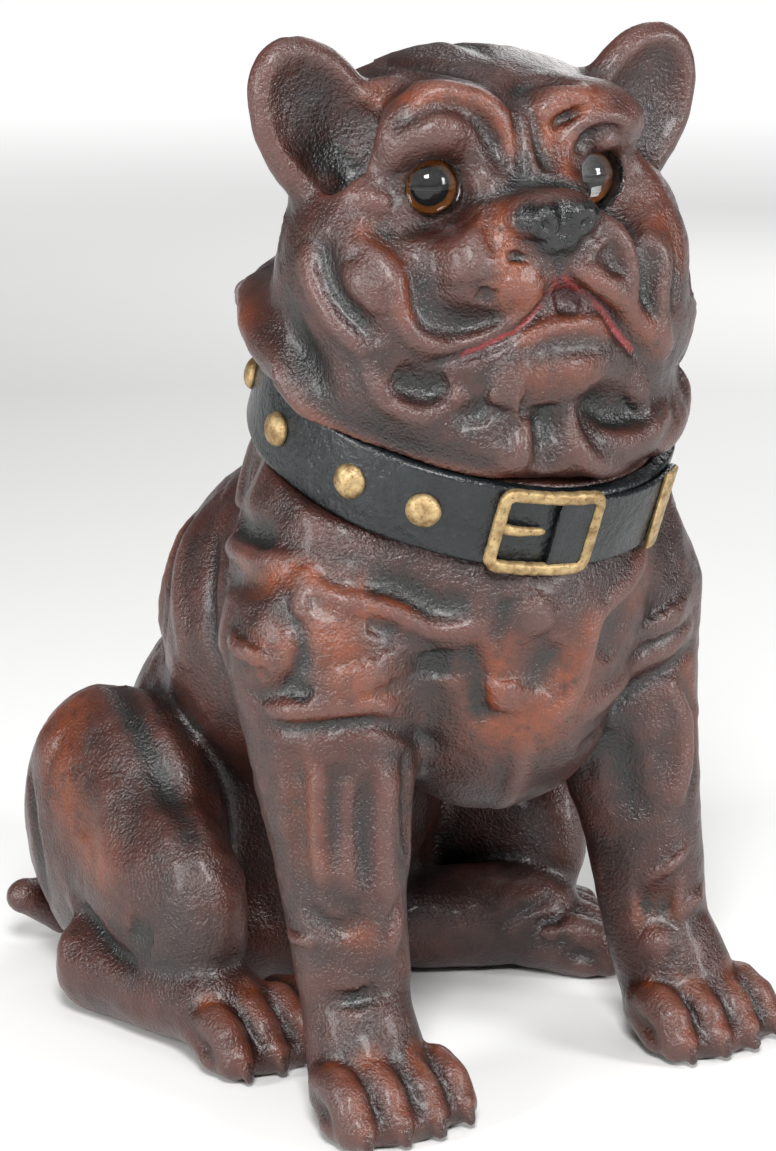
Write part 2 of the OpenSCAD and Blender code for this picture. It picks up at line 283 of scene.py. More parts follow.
# Ridges and grooves: width, height, and a line over the surface
headFolds = {
    "right brow crease": (1.9, -2.8, [(-31, 20), (-28, 25), (-22, 28), (-16, 27.5), (-11, 24), (-8, 19),
        (-7, 13)]),
    "right brow band": (2.6, 2.4, [(-32, 27), (-23, 31), (-14, 30.5), (-8, 27.5), (-4.5, 22), (-4.5, 14)]),
    "right forehead crease": (1.4, -1.6, [(-26, 34), (-17, 34.5), (-9, 33), (-4, 29), (-2, 25)]),
    "left forehead crease": (1.4, -1.5, [(-2, 28), (3, 30.5), (9, 31.5), (14, 30)]),
    "right frown": (1.5, -2.3, [(-2.5, 26), (-2.3, 19), (-3, 14), (-6, 11)]),
    "left frown": (1.5, -2.3, [(2.5, 26), (2.3, 19), (3, 13)]),
    "frown ridge": (1.1, 0.9, [(0, 26), (-0.3, 19), (-0.3, 12.5)]),
    "left brow band": (2.6, 2.6, [(4, 20), (4, 24), (7, 27.5), (11, 28.8), (16, 28)]),
    "left brow dimple": (3.4, -2.6, [(8.5, 25.5), (10, 22.5)]),
    "left lid edge": (1.5, 1.9, [(7, 12), (9, 18), (12.5, 22), (17, 24), (22, 23.5), (27, 20)]),
    "left lid crease": (1.7, -1.8, [(12, 16), (14.5, 19.8), (18, 21.2), (23, 20.5)]),
    "right lid": (4.5, 2.0, [(-33, 15), (-29, 18), (-23, 20), (-15, 21)]),
    "left lid": (4.0, 1.6, [(16, 17.5), (21, 18.5), (27, 16)]),
    "under right eye": (2.0, -1.3, [(-38, 7), (-33, 4), (-28, 2), (-24, 2.5), (-20, 3.5)]),
    "right cheek bone": (2.6, 1.2, [(-39, 12), (-35, 9), (-30, 6)]),
    "right cheek fold": (4.2, -4.6, [(-40, 7), (-36, 4), (-32, 0.5), (-29, -4), (-28, -9), (-26.5, -14),
        (-22, -17), (-16, -16.5), (-11, -14)]),
    "right flew edge": (1.9, 3.4, [(-40, 0), (-36, -2), (-33, -5.5), (-32.5, -10), (-32, -15),
        (-28.5, -20), (-22, -22), (-15, -20.7), (-9, -17.6), (-4, -13.5)]),
    "right muzzle pad": (4.8, 1.7, [(-18.5, 3), (-19, -3), (-18, -8)]),
    "right lip pad": (3.8, 2.0, [(-12, -7), (-7, -10), (-2, -9)]),
    "upper dimple": (2.0, -2.6, [(-8.2, -1.4), (-9, -4.4)]),
    "lower dimple": (2.2, -3.0, [(-14.6, -8.8), (-16.0, -13.0)]),
    "right nose side": (1.6, -1.3, [(-12, 8), (-14, 2), (-13.5, -3)]),
    "right mouth": (1.2, -3.2, [(1.2, -7.5), (-1, -13), (-6, -17.2), (-13, -20.8), (-19, -23.6),
        (-27, -26)]),
    "left mouth": (1.3, -3.0, [(2.2, -7.5), (8, -12), (13.5, -16.5), (17, -21), (22, -26), (25, -28)]),
    "mouth gap": (2.8, -4.0, [(0.5, -13.5), (3.5, -13), (8, -14.5)]),
    "lower lip": (1.5, 1.9, [(-9, -20.6), (-3, -19), (3, -18.3), (9, -18.5), (15, -20)]),
    "under lip": (2.4, -1.3, [(-8, -25), (0, -23), (8, -23.5), (14, -25)]),
    "left flew edge": (2.4, 4.0, [(3.5, -6.6), (10, -9.2), (17, -13.5), (23, -19), (29, -24.5),
        (33.5, -29.5)]),
    "left lip fold": (2.1, 2.8, [(12, 4), (16.5, 0.5), (19, -5), (20, -10), (21.5, -15)]),
    "left cheek fold": (3.0, -2.8, [(15, 6), (21, 2), (23.5, -4), (24.3, -10), (26, -17), (29.5, -21)]),
    "left lip hollow": (3.0, -2.0, [(12, -1.5), (14.5, -5), (15.5, -9.5)]),
    "left cheek ridge": (2.0, 2.8, [(25, -1.5), (30, -5), (30.3, -10), (28.8, -16), (31, -23),
        (34.5, -28)]),
    "left cheek hollow": (2.2, -1.6, [(34, 3), (35.5, -5), (34, -12), (34.5, -20)]),
    "right cheek groove": (3.0, -3.4, [(-43, -33, 1), (-44, -36, -6), (-43, -40, -12), (-39, -45, -18),
        (-36, -46, -22)]),
    "right cheek ridge": (2.2, 3.0, [(-46, -29, -1), (-46, -33, -8), (-44, -39, -15), (-40.5, -43, -20.5),
        (-37, -45, -24)]),
    "right cheek": (5.0, 1.2, [(-39, -41, -3), (-37, -45, -9), (-35.5, -47, -15)]),
    "right jowl pocket": (4.4, -2.6, [(-33.5, -27.5), (-30, -30.3), (-25.5, -31.7), (-21.5, -30)]),
    "right pocket edge": (2.2, 3.2, [(-38, -24), (-35.8, -30), (-32.5, -34.6), (-28, -36.3), (-23, -35),
        (-18.5, -31)]),
    "under right jowl": (2.2, -1.8, [(-22, -38), (-15, -35.5), (-9, -36)]),
    "right jowl sweep": (5.0, -4.0, [(-48, -22, -10), (-48, -26, -20), (-46.5, -31, -29), (-43, -38, -37),
        (-35, -46, -42), (-24, -53, -44.5), (-12, -57, -46)]),
    "right rim": (2.6, 2.6, [(-51, -16, -22), (-50, -23, -29), (-47, -29, -37), (-41, -35, -44.5),
        (-33, -44, -49.5), (-22, -52, -52), (-8, -56, -53)]),
    "chin": (5.0, 2.4, [(-15, -32), (-7, -33.5)]),
    "chin ridge": (2.2, 2.2, [(-6.3, -37), (-7.6, -43), (-9, -50)]),
    "cleft": (2.8, -4.6, [(-1.5, -35), (-1.8, -42), (-2.4, -50)]),
    "left cleft edge": (2.0, 3.2, [(5, -35.5), (5.2, -43), (9, -49), (16, -52), (26, -53)]),
    "left jowl pocket": (4.8, -3.0, [(9, -32), (12.5, -37.5), (19, -41), (28, -41.5)]),
    "left jowl bump": (4.6, 1.8, [(22, -38), (25, -36), (28, -35)]),
    "left pocket edge": (2.2, 2.8, [(7.5, -39), (14.5, -43.8), (25, -45), (37, -41)]),
    "left jowl": (8.0, 2.2, [(40, -32, -16), (42, -34, -34)]),
    "left cheek groove": (2.4, -2.0, [(43, -34, 2), (44, -36, -8), (41, -42, -16)]),
    "left rim": (2.8, 2.2, [(30, -48, -52), (40, -40, -49), (47, -28, -42), (50, -18, -30)]),
    "nose furrow": (1.7, -2.2, [(-14, 7.5), (-8.5, 10.5), (-3, 12), (4, 11.5), (14, 7.5)]),
    "nose line": (0.9, -2.2, [(0.3, 8.5), (0.6, 4), (0.8, -1)]),
    "lip line": (1.1, -1.6, [(0.9, -1), (1.2, -4), (1.8, -8)]),
    "right nose wing": (1.6, 1.1, [(-9, 6.5), (-9.3, 3.5), (-6, 0.8)]),
    "left nose wing": (1.6, 1.1, [(9.6, 6.5), (10, 3.5), (6.8, 0.8)]),
    "right nostril rim": (1.2, 1.9, [(-6, 4), (-5.4, 6.4), (-3.4, 7), (-2, 5.4)]),
    "left nostril rim": (1.2, 1.9, [(6.6, 4), (6, 6.4), (4, 7), (2.6, 5.4)]),
    "right nostril": (1.3, -3.2, [(-5.2, 3.2), (-4.2, 3.8), (-3.2, 4.2)]),
    "left nostril": (1.3, -3.2, [(6.0, 3.2), (5.0, 3.8), (4.0, 4.2)]),
    "back scruff one": (3.2, 3.0, [(-47, 2, -17), (-42, 16, -18), (-28, 36, -24), (0, 48, -27),
        (28, 36, -24), (42, 16, -18), (47, 2, -17)]),
    "back scruff two": (3.0, -1.8, [(-44, 2, -6), (-38, 16, -8), (-24, 30, -12), (0, 38, -14),
        (24, 30, -12), (38, 16, -8), (44, 2, -6)]),
    "back scruff three": (2.4, -1.8, [(-40, 24, -34), (-24, 42, -38), (0, 50, -40), (24, 42, -38),
        (40, 24, -34)]),
    "crown line": (2.2, -1.2, [(0, -28, 37), (0, -10, 38), (0, 12, 28)]),
}

headForms = {
    "cell": 0.8,
    "low": (-62, -66, -66),
    "high": (60, 58, 50),
    "seamAt": 10,            # height where the seam stands at seamDepth
    "seamDepth": -10,
    "seamLean": 0.32,        # how far the seam comes forward for each millimetre down
    "napeSunk": 2.0,         # how far the nape lies under the face at the seam, fading over napeReach
    "napeReach": 18,
    "eyeAt": (19.4, -36.5, 10),
    "eyeTurn": 12,
    "eyeRadius": 6,
}


def headLumps(clay, grow=0, blend=6):
    clay.lump((0, -12, 12), (38, 34, 26), grow=grow, blend=blend)
    for side in (-1, 1):
        clay.lump((side * 23, -22, -14), (25, 30, 34), grow=grow, blend=blend)
    clay.lump((0, -17, -33), (45, 37, 18), grow=grow, blend=blend)
    clay.lump((0, 13, -19), (34, 30, 22), grow=grow, blend=8)
    clay.lump((0, 15, -27), (42, 36, 19), grow=grow, blend=5)


def eyeFrame(side):
    at = headForms["eyeAt"]
    return placed((side * at[0], at[1], at[2]), (90, 0, side * headForms["eyeTurn"]))


def eyeRing(side, wide, high, out, count):
    # Places round an eye
    eye = eyeFrame(side)
    turns = np.linspace(0, 2 * math.pi, count)
    return [tuple(eye @ Vector((wide * math.cos(turn), high * math.sin(turn), out))) for turn in turns]


def sinkScrew(clay, at, deep):
    # A hole for the screw and a sunk seat for its head, from behind
    seat = placed(at, (-90, 0, 0))
    clay.ring(seat, screwHole["radius"], 0, -deep, screwHole["reach"], cut=True)
    clay.ring(seat, screwHole["seatRadius"], 0, 0, screwHole["reach"], cut=True)


def earScoop(clay, side, grow):
    # The hollow at the front of an ear
    at = (side * 39.8, -28, 24.2)
    clay.lump(at, (12, 8.2, 18.3), (0, side * 30, side * 3), blend=1.4, cut=True, grow=grow)


def modelHead():
    head = Clay(headForms["low"], headForms["high"], headForms["cell"])
    headLumps(head)
    head.lump((0, -42, -4), (23, 15, 19), blend=5)
    for side in (-1, 1):
        head.lump((side * 13, -46, -8), (13, 11, 13), blend=4)
        head.lump((side * 18, -36, 24), (14, 9, 8), (0, side * 12, 0), blend=5)
    head.lump((0, -46, -27), (22, 13, 14), blend=5)
    # Loose skin over the collar
    place = neckInHead @ Vector((-3, 2, 16))
    head.lump(tuple(place), (52, 49, 15), [math.degrees(a) for a in neckInHead.to_euler()], blend=6)
    # Ears: a thick blade, its front scooped out
    for side in (-1, 1):
        head.lump((side * 38.5, -19.5, 22.5), (14, 6.5, 20.5), (0, side * 30, 0), blend=5)
        head.lump((side * 32, -18, 16), (12, 7, 13), (0, side * 24, 0), blend=6)
        earScoop(head, side, 0)
    # Nose leather
    head.lump((0.3, -54, 5.2), (11, 7, 5.6), blend=1.8)
    head.lump((0.7, -55.5, 0.8), (6, 4.6, 4.6), blend=1.6)
    for side in (-1, 1):
        head.lump((0.4 + side * 4.4, -58.5, 4.6), (3.9, 3.2, 4.0), blend=1.2)
    # Eye sockets with their lids
    for side in (-1, 1):
        eye = eyeFrame(side)
        turn = side * headForms["eyeTurn"]
        head.lump(tuple(eye @ Vector((side * 3, 0, 13))), (12, 10, 10), (0, 0, turn), blend=4, cut=True)
        head.lump(tuple(eye @ Vector((0, 0, 6.6))), (7.0, 7.0, 7.0), blend=2, cut=True)
    for width, height, points in headFolds.values():
        head.fold(width, height, points)
    for side in (-1, 1):
        head.limb(eyeRing(side, 7.2, 7.1, 1.2, 21), [1.7] * 21, blend=2.0)
        head.ring(eyeFrame(side), headForms["eyeRadius"] + 0.12, 0, -7, 8, cut=True)
    head.roughen(0.10, 2.2, 3)
    head.roughen(0.22, 7, 4)
    print("head modelled", head.field.shape)
    return head


def splitHead(head):
    # Hollow, with room for the collar, and parted into face and nape
    wall = bank["wall"]
    inside = Clay(headForms["low"], headForms["high"], headForms["cell"])
    headLumps(inside, grow=-wall, blend=3)
    inside.ring(neckInHead, 200, 0, -300, neck["strapTop"] + neck["gap"] + wall, cut=True)
    inside.ring(neckInHead, neck["spigot"] - wall, 0, -60, neck["strapTop"] + 12)
    for side in (-1, 1):
        inside.ring(eyeFrame(side), 10.5, 0, -9, 12, cut=True)
        earScoop(inside, side, 5)
    # Metal left for the head screw, then a least wall everywhere
    inside.ring(placed((0, -22, 10), (90, 0, 0)), 6, 0, 0, 30, cut=True)
    thin = head.copy()
    thin.ring(neckInHead, neck["spigot"], 0, -80, neck["strapTop"] + 14)
    inside.field = np.maximum(inside.field, thin.field + bank["leastWall"])
    shell = head.copy()
    shell.ring(neckInHead, 200, 0, -300, neck["strapTop"] + neck["gap"], cut=True)
    shell.ring(neckInHead, neck["spigot"], 0, -8, 14)
    shell.ring(neckInHead, neck["flange"], 0, -8, -4)
    shell.field = np.maximum(shell.field, -inside.field)
    grid = shell.everywhere()[1]
    lean = headForms["seamLean"]
    seam = grid[1] - headForms["seamDepth"] + lean * (headForms["seamAt"] - grid[2])
    seam = seam / math.sqrt(1 + lean * lean)
    face = shell.copy()
    face.field = np.maximum(shell.field, seam + bank["headSeamGap"])
    nape = shell.copy()
    sunk = headForms["napeSunk"] * np.clip(1 - seam / headForms["napeReach"], 0, 1)
    nape.field = np.maximum(np.maximum(shell.field + sunk, bank["headSeamGap"] - seam), -inside.field)
    sinkScrew(nape, (0, 18, 10), 30)
    return face, nape


bodyForms = {
    "cell": 1.0,
    "low": (-77.35, -90.35, -3.4),    # off whole millimetres, so that no flat face meets the grid's points
    "high": (79, 92, 178),
    "seamStep": 26,
    "seamStepAt": 60,
    "slotLength": 38,
    "slotWidth": 5,
    "slotHeight": 116,
    "trapRadius": 20.4,
    "trapDepth": 4,
    "trapAt": (0, 40),
    "trapHole": (30, 22),
}

bodyFolds = {
    "rib one": (2.2, 1.6, [(-29, 44, 122), (-33, 44, 108), (-33, 48, 92), (-31, 54, 76)]),
    "rib two": (2.2, 1.6, [(-33, 35, 122), (-38, 34, 110), (-40, 34, 98), (-39, 37, 85)]),
    "rib three": (3.0, 1.8, [(-34, 26, 124), (-39, 23, 114), (-43, 20, 106), (-45, 15, 96), (-45, 12, 86)]),
    "between ribs one": (1.5, -1.8, [(-31, 40, 120), (-36, 39, 108), (-37, 41, 94), (-35, 46, 80)]),
    "between ribs two": (1.5, -1.8, [(-35, 30, 122), (-40, 28, 110), (-43, 26, 98), (-42, 30, 84)]),
    "behind shoulder": (1.8, -3.0, [(-40, 12, 122), (-43, 7, 113), (-46, 4, 104), (-47, 2, 96),
        (-46, -2, 86)]),
    "neck muscle": (3.2, 2.6, [(-34, -2, 146), (-38, 4, 136), (-42, 4, 124)]),
    "neck groove": (2.2, -2.2, [(-42, -12, 143), (-46, -10, 134), (-47, -12, 126)]),
    "shoulder pocket": (3.0, -3.6, [(-50, -16, 128), (-54, -28, 129), (-53, -38, 129)]),
    "pocket shelf": (2.0, 3.2, [(-46, -6, 120), (-53, -16, 123), (-55, -27, 124), (-55, -36, 124),
        (-52, -46, 124)]),
    "under shelf": (2.6, -2.6, [(-52, -12, 116), (-55, -24, 117), (-57, -34, 118), (-57, -43, 118)]),
    "shelf post": (1.8, 2.0, [(-52, -46, 124), (-55, -50, 119), (-57, -52, 114)]),
    "shoulder bump": (6.2, 4.0, [(-62, -42, 108), (-62, -41, 104)]),
    "bump crease": (1.8, -3.0, [(-58, -46, 117), (-57, -53, 111), (-58, -54, 104), (-61, -49, 98),
        (-63, -40, 95)]),
    "bump back crease": (1.7, -2.0, [(-61, -35, 113), (-62, -32, 106), (-63, -31, 99)]),
    "under bump": (2.6, -2.4, [(-60, -50, 100), (-56, -56, 97)]),
    "collar bone": (1.9, 2.6, [(-53, -47, 122), (-48, -55, 118), (-41, -58, 116), (-34, -61, 113),
        (-30, -64, 110.5), (-25, -67, 110.5), (-19, -71, 112)]),
    "above collar bone": (3.2, -2.6, [(-42, -54, 121), (-34, -59, 119), (-29, -64, 116),
        (-22, -69, 115.5)]),
    "below collar bone": (2.2, -1.6, [(-44, -58, 113), (-37, -61, 110)]),
    "right shoulder": (8.0, 2.4, [(-46, -60, 106), (-44, -61, 98)]),
    "right chest groove": (2.6, -3.0, [(-23, -67, 108), (-22, -69, 101), (-19, -67, 94), (-15, -64, 88)]),
    "right chest hollow": (5.0, -2.2, [(-29, -65, 106), (-28, -64, 98)]),
    "arm fold": (2.2, 2.4, [(-62, -45, 93), (-58, -53, 94), (-52, -58, 95), (-45, -61, 95.5),
        (-37, -62, 93)]),
    "arm crease": (1.6, -3.0, [(-63, -42, 89), (-59, -51, 90), (-54, -57, 91), (-47, -61, 91.5),
        (-40, -62, 90), (-30, -60, 85), (-24, -60, 80)]),
    "right arm groove one": (3.0, -2.2, [(-59, -51, 87), (-58, -53, 75), (-58, -53, 61), (-56, -53, 50)]),
    "right arm groove two": (3.0, -2.2, [(-52.5, -59, 84), (-53, -59, 72), (-53, -59, 58)]),
    "right arm groove three": (3.0, -2.2, [(-46, -61, 81), (-46.5, -61, 68), (-46, -62, 54)]),
    "right arm muscle one": (2.4, 1.6, [(-55, -56, 84), (-55.5, -57, 69), (-55, -56, 54)]),
    "right arm muscle two": (2.4, 1.4, [(-49, -60, 82), (-50, -60, 65), (-50, -61, 52)]),
    "right arm muscle three": (3.2, 2.4, [(-40, -62, 83), (-41, -62, 70), (-41, -62, 57),
        (-39.5, -62, 48)]),
    "right arm inner groove": (1.8, -2.0, [(-35, -60, 84), (-34, -60, 72), (-34, -60, 58)]),
    "right wrist crease": (1.7, -2.2, [(-57, -52, 50), (-54, -58, 46), (-50, -61, 45.5), (-47, -62, 49)]),
    "right wrist outer": (4.0, 2.2, [(-57, -51, 43), (-57, -51, 40)]),
    "right wrist inner": (4.0, 2.2, [(-41, -63, 45), (-38, -61, 43)]),
    "right wrist hollow": (4.5, -1.6, [(-50, -63, 32), (-50, -64, 27)]),
    "breast left edge": (2.2, 2.4, [(10, -75, 113), (7, -74, 107), (5, -72, 100), (2, -70, 92),
        (-4, -69, 86)]),
    "breast hollow": (6.0, -2.0, [(-2, -72, 106), (-6, -72, 100), (-8, -71, 94)]),
    "breast bulge": (4.6, 2.2, [(-15, -70, 99), (-15, -67, 91)]),
    "breast top": (3.6, 2.0, [(-11, -75, 118), (-7, -76, 108)]),
    "breast line": (2.0, -2.0, [(-16, -73, 118), (-17, -73, 111), (-19, -71, 107)]),
    "left neck tendon": (2.4, 2.6, [(28, -62, 122), (21, -69, 117), (14, -73, 113), (9, -74, 109)]),
    "left neck hollow": (4.6, -2.6, [(20, -70, 112), (14, -72, 106), (12, -71, 98)]),
    "left shoulder": (8.0, 3.0, [(35, -62, 106), (37, -62, 99)]),
    "left overhang": (2.4, 2.6, [(48, -58, 100), (44, -62, 98), (36, -63, 95), (26, -62, 92),
        (14, -66, 90), (4, -70, 87)]),
    "left arm crease": (1.7, -3.0, [(49, -58, 94), (43, -61, 92), (35, -62, 89), (26, -58, 85),
        (16, -61, 82), (6, -66, 79)]),
    "left arm muscle": (3.0, 2.4, [(38, -62, 89), (44, -61, 76), (44, -62, 66), (41, -62, 57)]),
    "left arm groove": (1.7, -2.4, [(42.5, -61, 90), (48.5, -60, 77), (48, -61, 65), (43.5, -62, 56)]),
    "left arm hollow": (4.0, -2.4, [(28, -56, 78), (30, -57, 65), (33, -58, 54)]),
    "left wrist": (4.2, 2.6, [(38, -63, 45), (40, -63, 42)]),
    "left wrist dimple": (4.4, -4.0, [(29, -61, 33), (35, -63, 33.5), (41, -63, 33)]),
    "left wrist outer": (3.2, 2.0, [(45, -63, 35), (46, -62, 32)]),
    "left wrist low": (3.0, 1.4, [(30, -62, 27), (37, -66, 26)]),
    "keel": (2.4, 1.6, [(-8, -70, 84), (-8, -68, 76), (-6, -62, 66), (-4, -52, 61)]),
    "haunch groove": (3.0, -3.2, [(-40, 58, 84), (-46, 46, 78), (-50, 30, 71), (-52, 16, 63),
        (-53, 4, 54), (-54, -6, 46)]),
    "haunch top": (6.0, 2.6, [(-58, 60, 60), (-61, 48, 60)]),
    "thigh": (5.0, 1.8, [(-60, 28, 60), (-63, 20, 48), (-66, 14, 36)]),
    "hock crease": (1.8, -3.2, [(-63, 34, 27), (-65, 24, 24), (-66, 16, 21), (-64, 6, 19)]),
    "hock hollow": (4.0, -2.0, [(-65, 8, 29), (-63, 0, 27)]),
    "hock cord": (2.4, 1.6, [(-66, 40, 28), (-69, 34, 20), (-68, 30, 12)]),
    "rump groove": (2.4, -3.0, [(-60, 64, 54), (-63, 58, 44), (-63, 54, 33), (-61, 56, 20)]),
    "spine": (3.0, -1.6, [(0, 34, 132), (0, 50, 112), (0, 66, 88), (0, 78, 62)]),
    "left loin": (4.0, 1.4, [(8, 46, 118), (9, 60, 98), (10, 72, 76)]),
    "right loin": (4.0, 1.4, [(-8, 46, 118), (-9, 60, 98), (-10, 72, 76)]),
    "tail root": (3.0, -2.4, [(-34, 66, 26), (-28, 74, 22), (-20, 78, 18)]),
    "sole edge": (1.2, -1.8, [(31, -9, 9), (31, -9, 14), (34, -11, 18), (39, -12, 19.5), (44, -13, 20)]),
    "sole pad": (2.6, 1.2, [(38, -15, 12), (42, -17, 13)]),
    "sole toe one": (1.0, -1.6, [(36, -15, 15.5), (44, -17, 17)]),
    "sole toe two": (1.0, -1.6, [(35, -17, 10), (44, -21, 11.5)]),
}

bothSidesFolds = [
    "rib one", "rib two", "rib three", "between ribs one", "between ribs two", "behind shoulder",
    "neck muscle", "neck groove", "shoulder pocket", "pocket shelf", "under shelf", "haunch groove",
    "haunch top", "thigh", "rump groove",
]


def torso(clay, grow=0, blend=8):
    clay.lump((0, -38, 112), (43, 37, 38), grow=grow, blend=blend)
    clay.lump((0, -44, 88), (29, 27, 27), grow=grow, blend=blend)
    clay.lump((0, 12, 94), (46, 42, 46), (28, 0, 0), grow=grow, blend=blend)
    clay.lump((0, -14, 104), (45, 36, 42), grow=grow, blend=blend)
    clay.lump((0, 42, 50), (41, 40, 46), grow=grow, blend=blend)
    clay.lump((0, 40, 16), (38, 35, 22), grow=grow, blend=blend)
    for side in (-1, 1):
        clay.lump((side * 36, -32, 114), (20, 26, 36), grow=grow, blend=blend)


def haunches(clay, grow=0, blend=4):
    for side in (-1, 1):
        clay.lump((side * 46, 42, 40), (19, 37, 36), grow=grow, blend=blend)


# Paws: where they stand and how far they turn
clawedPaws = ((-45, -68, 0), (45, -67, 4), (-46, -17, 8))
sidePaw = (53, -6, 62)
toes = (-1.5, -0.5, 0.5, 1.5)


def paw(clay, x, y, turn, claws=True):
    # Four blunt toes side by side, each with a high knuckle and a claw
    place = placed((x, y, 0), (0, 0, turn))
    clay.lump(tuple(place @ Vector((0, 3, 7.5))), (16.5, 12, 8), (0, 0, turn), blend=4)
    clay.lump(tuple(place @ Vector((0, -3, 4))), (18, 11, 6), (0, 0, turn), blend=3)
    for toe in toes:
        back = 1.5 * abs(toe)
        line = [(toe * 7.4, 6, 11), (toe * 8.6, -3 + back, 13.2 - back * 0.6), (toe * 9.0, -7.8 + back, 10),
                (toe * 9.1, -10.3 + back, 5)]
        clay.limb([tuple(place @ Vector(p)) for p in line], [4.6, 4.6, 4.4, 4.7], blend=0.9)
        if claws:
            line = [(toe * 9.1, -13.4 + back, 6), (toe * 9.2, -15.3 + back, 2.4)]
            clay.limb([tuple(place @ Vector(p)) for p in line], [2.3, 1.5], blend=1.0)


def modelBody():
    body = Clay(bodyForms["low"], bodyForms["high"], bodyForms["cell"])
    torso(body)
    haunches(body, blend=5)
    body.ring(neckFrame, neck["radius"], 0, -32, neck["strapTop"] + 1, blend=3)
    # Legs, the hind ones out to each side, and the tail
    for line in ([(-40, -38, 104), (-42, -44, 76), (-43, -49, 48), (-43, -53, 26), (-44, -59, 13)],
                 [(37, -38, 104), (39, -44, 76), (42, -49, 48), (43, -53, 26), (45, -59, 13)]):
        body.limb(line, [24, 18, 14, 12.5, 13.5], blend=5)
    body.lump((-52, 14, 32), (14, 30, 26), blend=5)
    body.lump((52, 18, 32), (14, 28, 26), blend=5)
    body.limb([(-59, 30, 11.7), (-52, -10, 12)], [12, 11], blend=3)
    body.limb([(14, 14, 12.6), (44, -2, 13.4)], [12, 13], blend=3)
    body.limb([(-24, 62, 12), (-42, 79, 9), (-54, 79, 14)], [10, 7, 4.5], blend=4)
    for where in clawedPaws:
        paw(body, *where)
    paw(body, *sidePaw, claws=False)
    for name, (width, height, points) in bodyFolds.items():
        body.fold(width, height, points)
        if name in bothSidesFolds:
            body.fold(width, height, mirrored(points))
    body.roughen(0.12, 2.6, 5)
    body.roughen(0.28, 9, 6)
    print("body modelled", body.field.shape)
    return body


def splitBody(body):
    wall = bank["wall"]
    inside = Clay(bodyForms["low"], bodyForms["high"], bodyForms["cell"])
    torso(inside, grow=-wall, blend=4)
    haunches(inside, grow=-wall)
    inside.field = np.maximum(inside.field, body.field + bank["leastWall"])
    inside.ring(neckFrame, neck["spigot"] + 0.4, 0, -34, neck["strapTop"] + 3)
    inside.block((-200, -200, -50), (200, 200, bank["floorThick"]), cut=True)
    shell = body.copy()
    top = neck["strapTop"]
    shell.ring(neckFrame, neck["radius"] + 16, neck["radius"], -top - neck["gap"], 60, cut=True)
    shell.ring(neckFrame, neck["radius"] + 16, 0, top - 0.5, 60, cut=True)
    shell.field = np.maximum(shell.field, -inside.field)
    shell.ring(neckFrame, neck["flange"] + 0.4, 0, -8.3, -3.7, cut=True)
    grid = shell.everywhere()[1]
    shell.field = np.maximum(shell.field, -grid[2])
    # The seam runs down the sides, then steps forward between the fore and hind legs
    step = bodyForms["seamStep"]
    low = np.clip((bodyForms["seamStepAt"] - grid[2]) / step, 0, 1)
    seam = grid[1] - bank["bodySeam"] + step * low * low * (3 - 2 * low)
    seam = seam / np.sqrt(1 + (1.5 * (low * (1 - low) * 4)) ** 2)
    chest = shell.copy()
    chest.field = np.maximum(shell.field, seam + bank["seamGap"])
    back = shell.copy()
    back.field = np.maximum(shell.field, bank["seamGap"] - seam)
    half = bodyForms["slotLength"] / 2
    middle = bodyForms["slotHeight"]
    width = bodyForms["slotWidth"] / 2
    back.block((-half, 12, middle - width), (half, 120, middle + width), blend=1.2, cut=True)
    sinkScrew(back, (0, 62, 84), 42)
    x, y = bodyForms["trapAt"]
    back.ring(placed((x, y, 0)), bodyForms["trapRadius"], 0, -5, bodyForms["trapDepth"], cut=True)
    length, breadth = bodyForms["trapHole"]
    back.block((x - length / 2, y - breadth / 2, -5), (x + length / 2, y + breadth / 2, 12), cut=True)
    return chest, back


def makeMesh(name, places, faces, frameMatrix=plain):
    mesh = bpy.data.meshes.new(name)
    matrix = np.array(Matrix.Scale(unit, 4) @ frameMatrix)
    places = places @ matrix[:3, :3].T + matrix[:3, 3]
    mesh.from_pydata(places.tolist(), [], [tuple(int(i) for i in face) for face in faces])
    mesh.update()
    mesh.shade_smooth()
    piece = bpy.data.objects.new(name, mesh)
    bpy.context.scene.collection.objects.link(piece)
    return piece


def keepLargest(places, faces):
    # Drops crumbs: only faces that hang together with the largest shell stay
    label = np.arange(len(places))
    while True:
        low = label[faces].min(1)
        before = label.copy()
        for corner in range(4):
            np.minimum.at(label, faces[:, corner], low)
        label = label[label]
        if (label == before).all():
            break
    keep = np.bincount(label[faces[:, 0]]).argmax()
    faces = faces[label[faces[:, 0]] == keep]
    used = np.unique(faces)
    order = np.zeros(len(places), int)
    order[used] = np.arange(len(used))
    return places[used], order[faces]


def evenNormals(piece, weld=0):
    # Turns every face outwards, after joining doubled places
    build = bmesh.new()
    build.from_mesh(piece.data)
    if weld > 0:
        bmesh.ops.remove_doubles(build, verts=build.verts, dist=weld)
    bmesh.ops.recalc_face_normals(build, faces=build.faces)
    build.to_mesh(piece.data)
    build.free()
    return piece


def addPiece(piece, material, node):
    piece.data.materials.append(material)
    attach(piece, "root")
    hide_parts(node)


def addMask(piece, name, values):
    layer = piece.data.attributes.new(name, "FLOAT", "POINT")
    layer.data.foreach_set("value", values.astype(np.float32))


def strokeMask(places, whole, strokes):
    # How strongly each place lies under the brush strokes
    mask = np.zeros(len(places), np.float32)
    for width, strength, points in strokes.values():
        line = whole.settle(points)
        near = ((places > line.min(0) - 2.5 * width) & (places < line.max(0) + 2.5 * width)).all(-1)
        spots = places[near].astype(np.float32)
        best = np.full(len(spots), 1e6, np.float32)
        for spot in line.astype(np.float32):
            best = np.minimum(best, ((spots - spot) ** 2).sum(-1))
        mask[near] = np.maximum(mask[near], strength * np.exp(-best / width ** 2))
    return mask


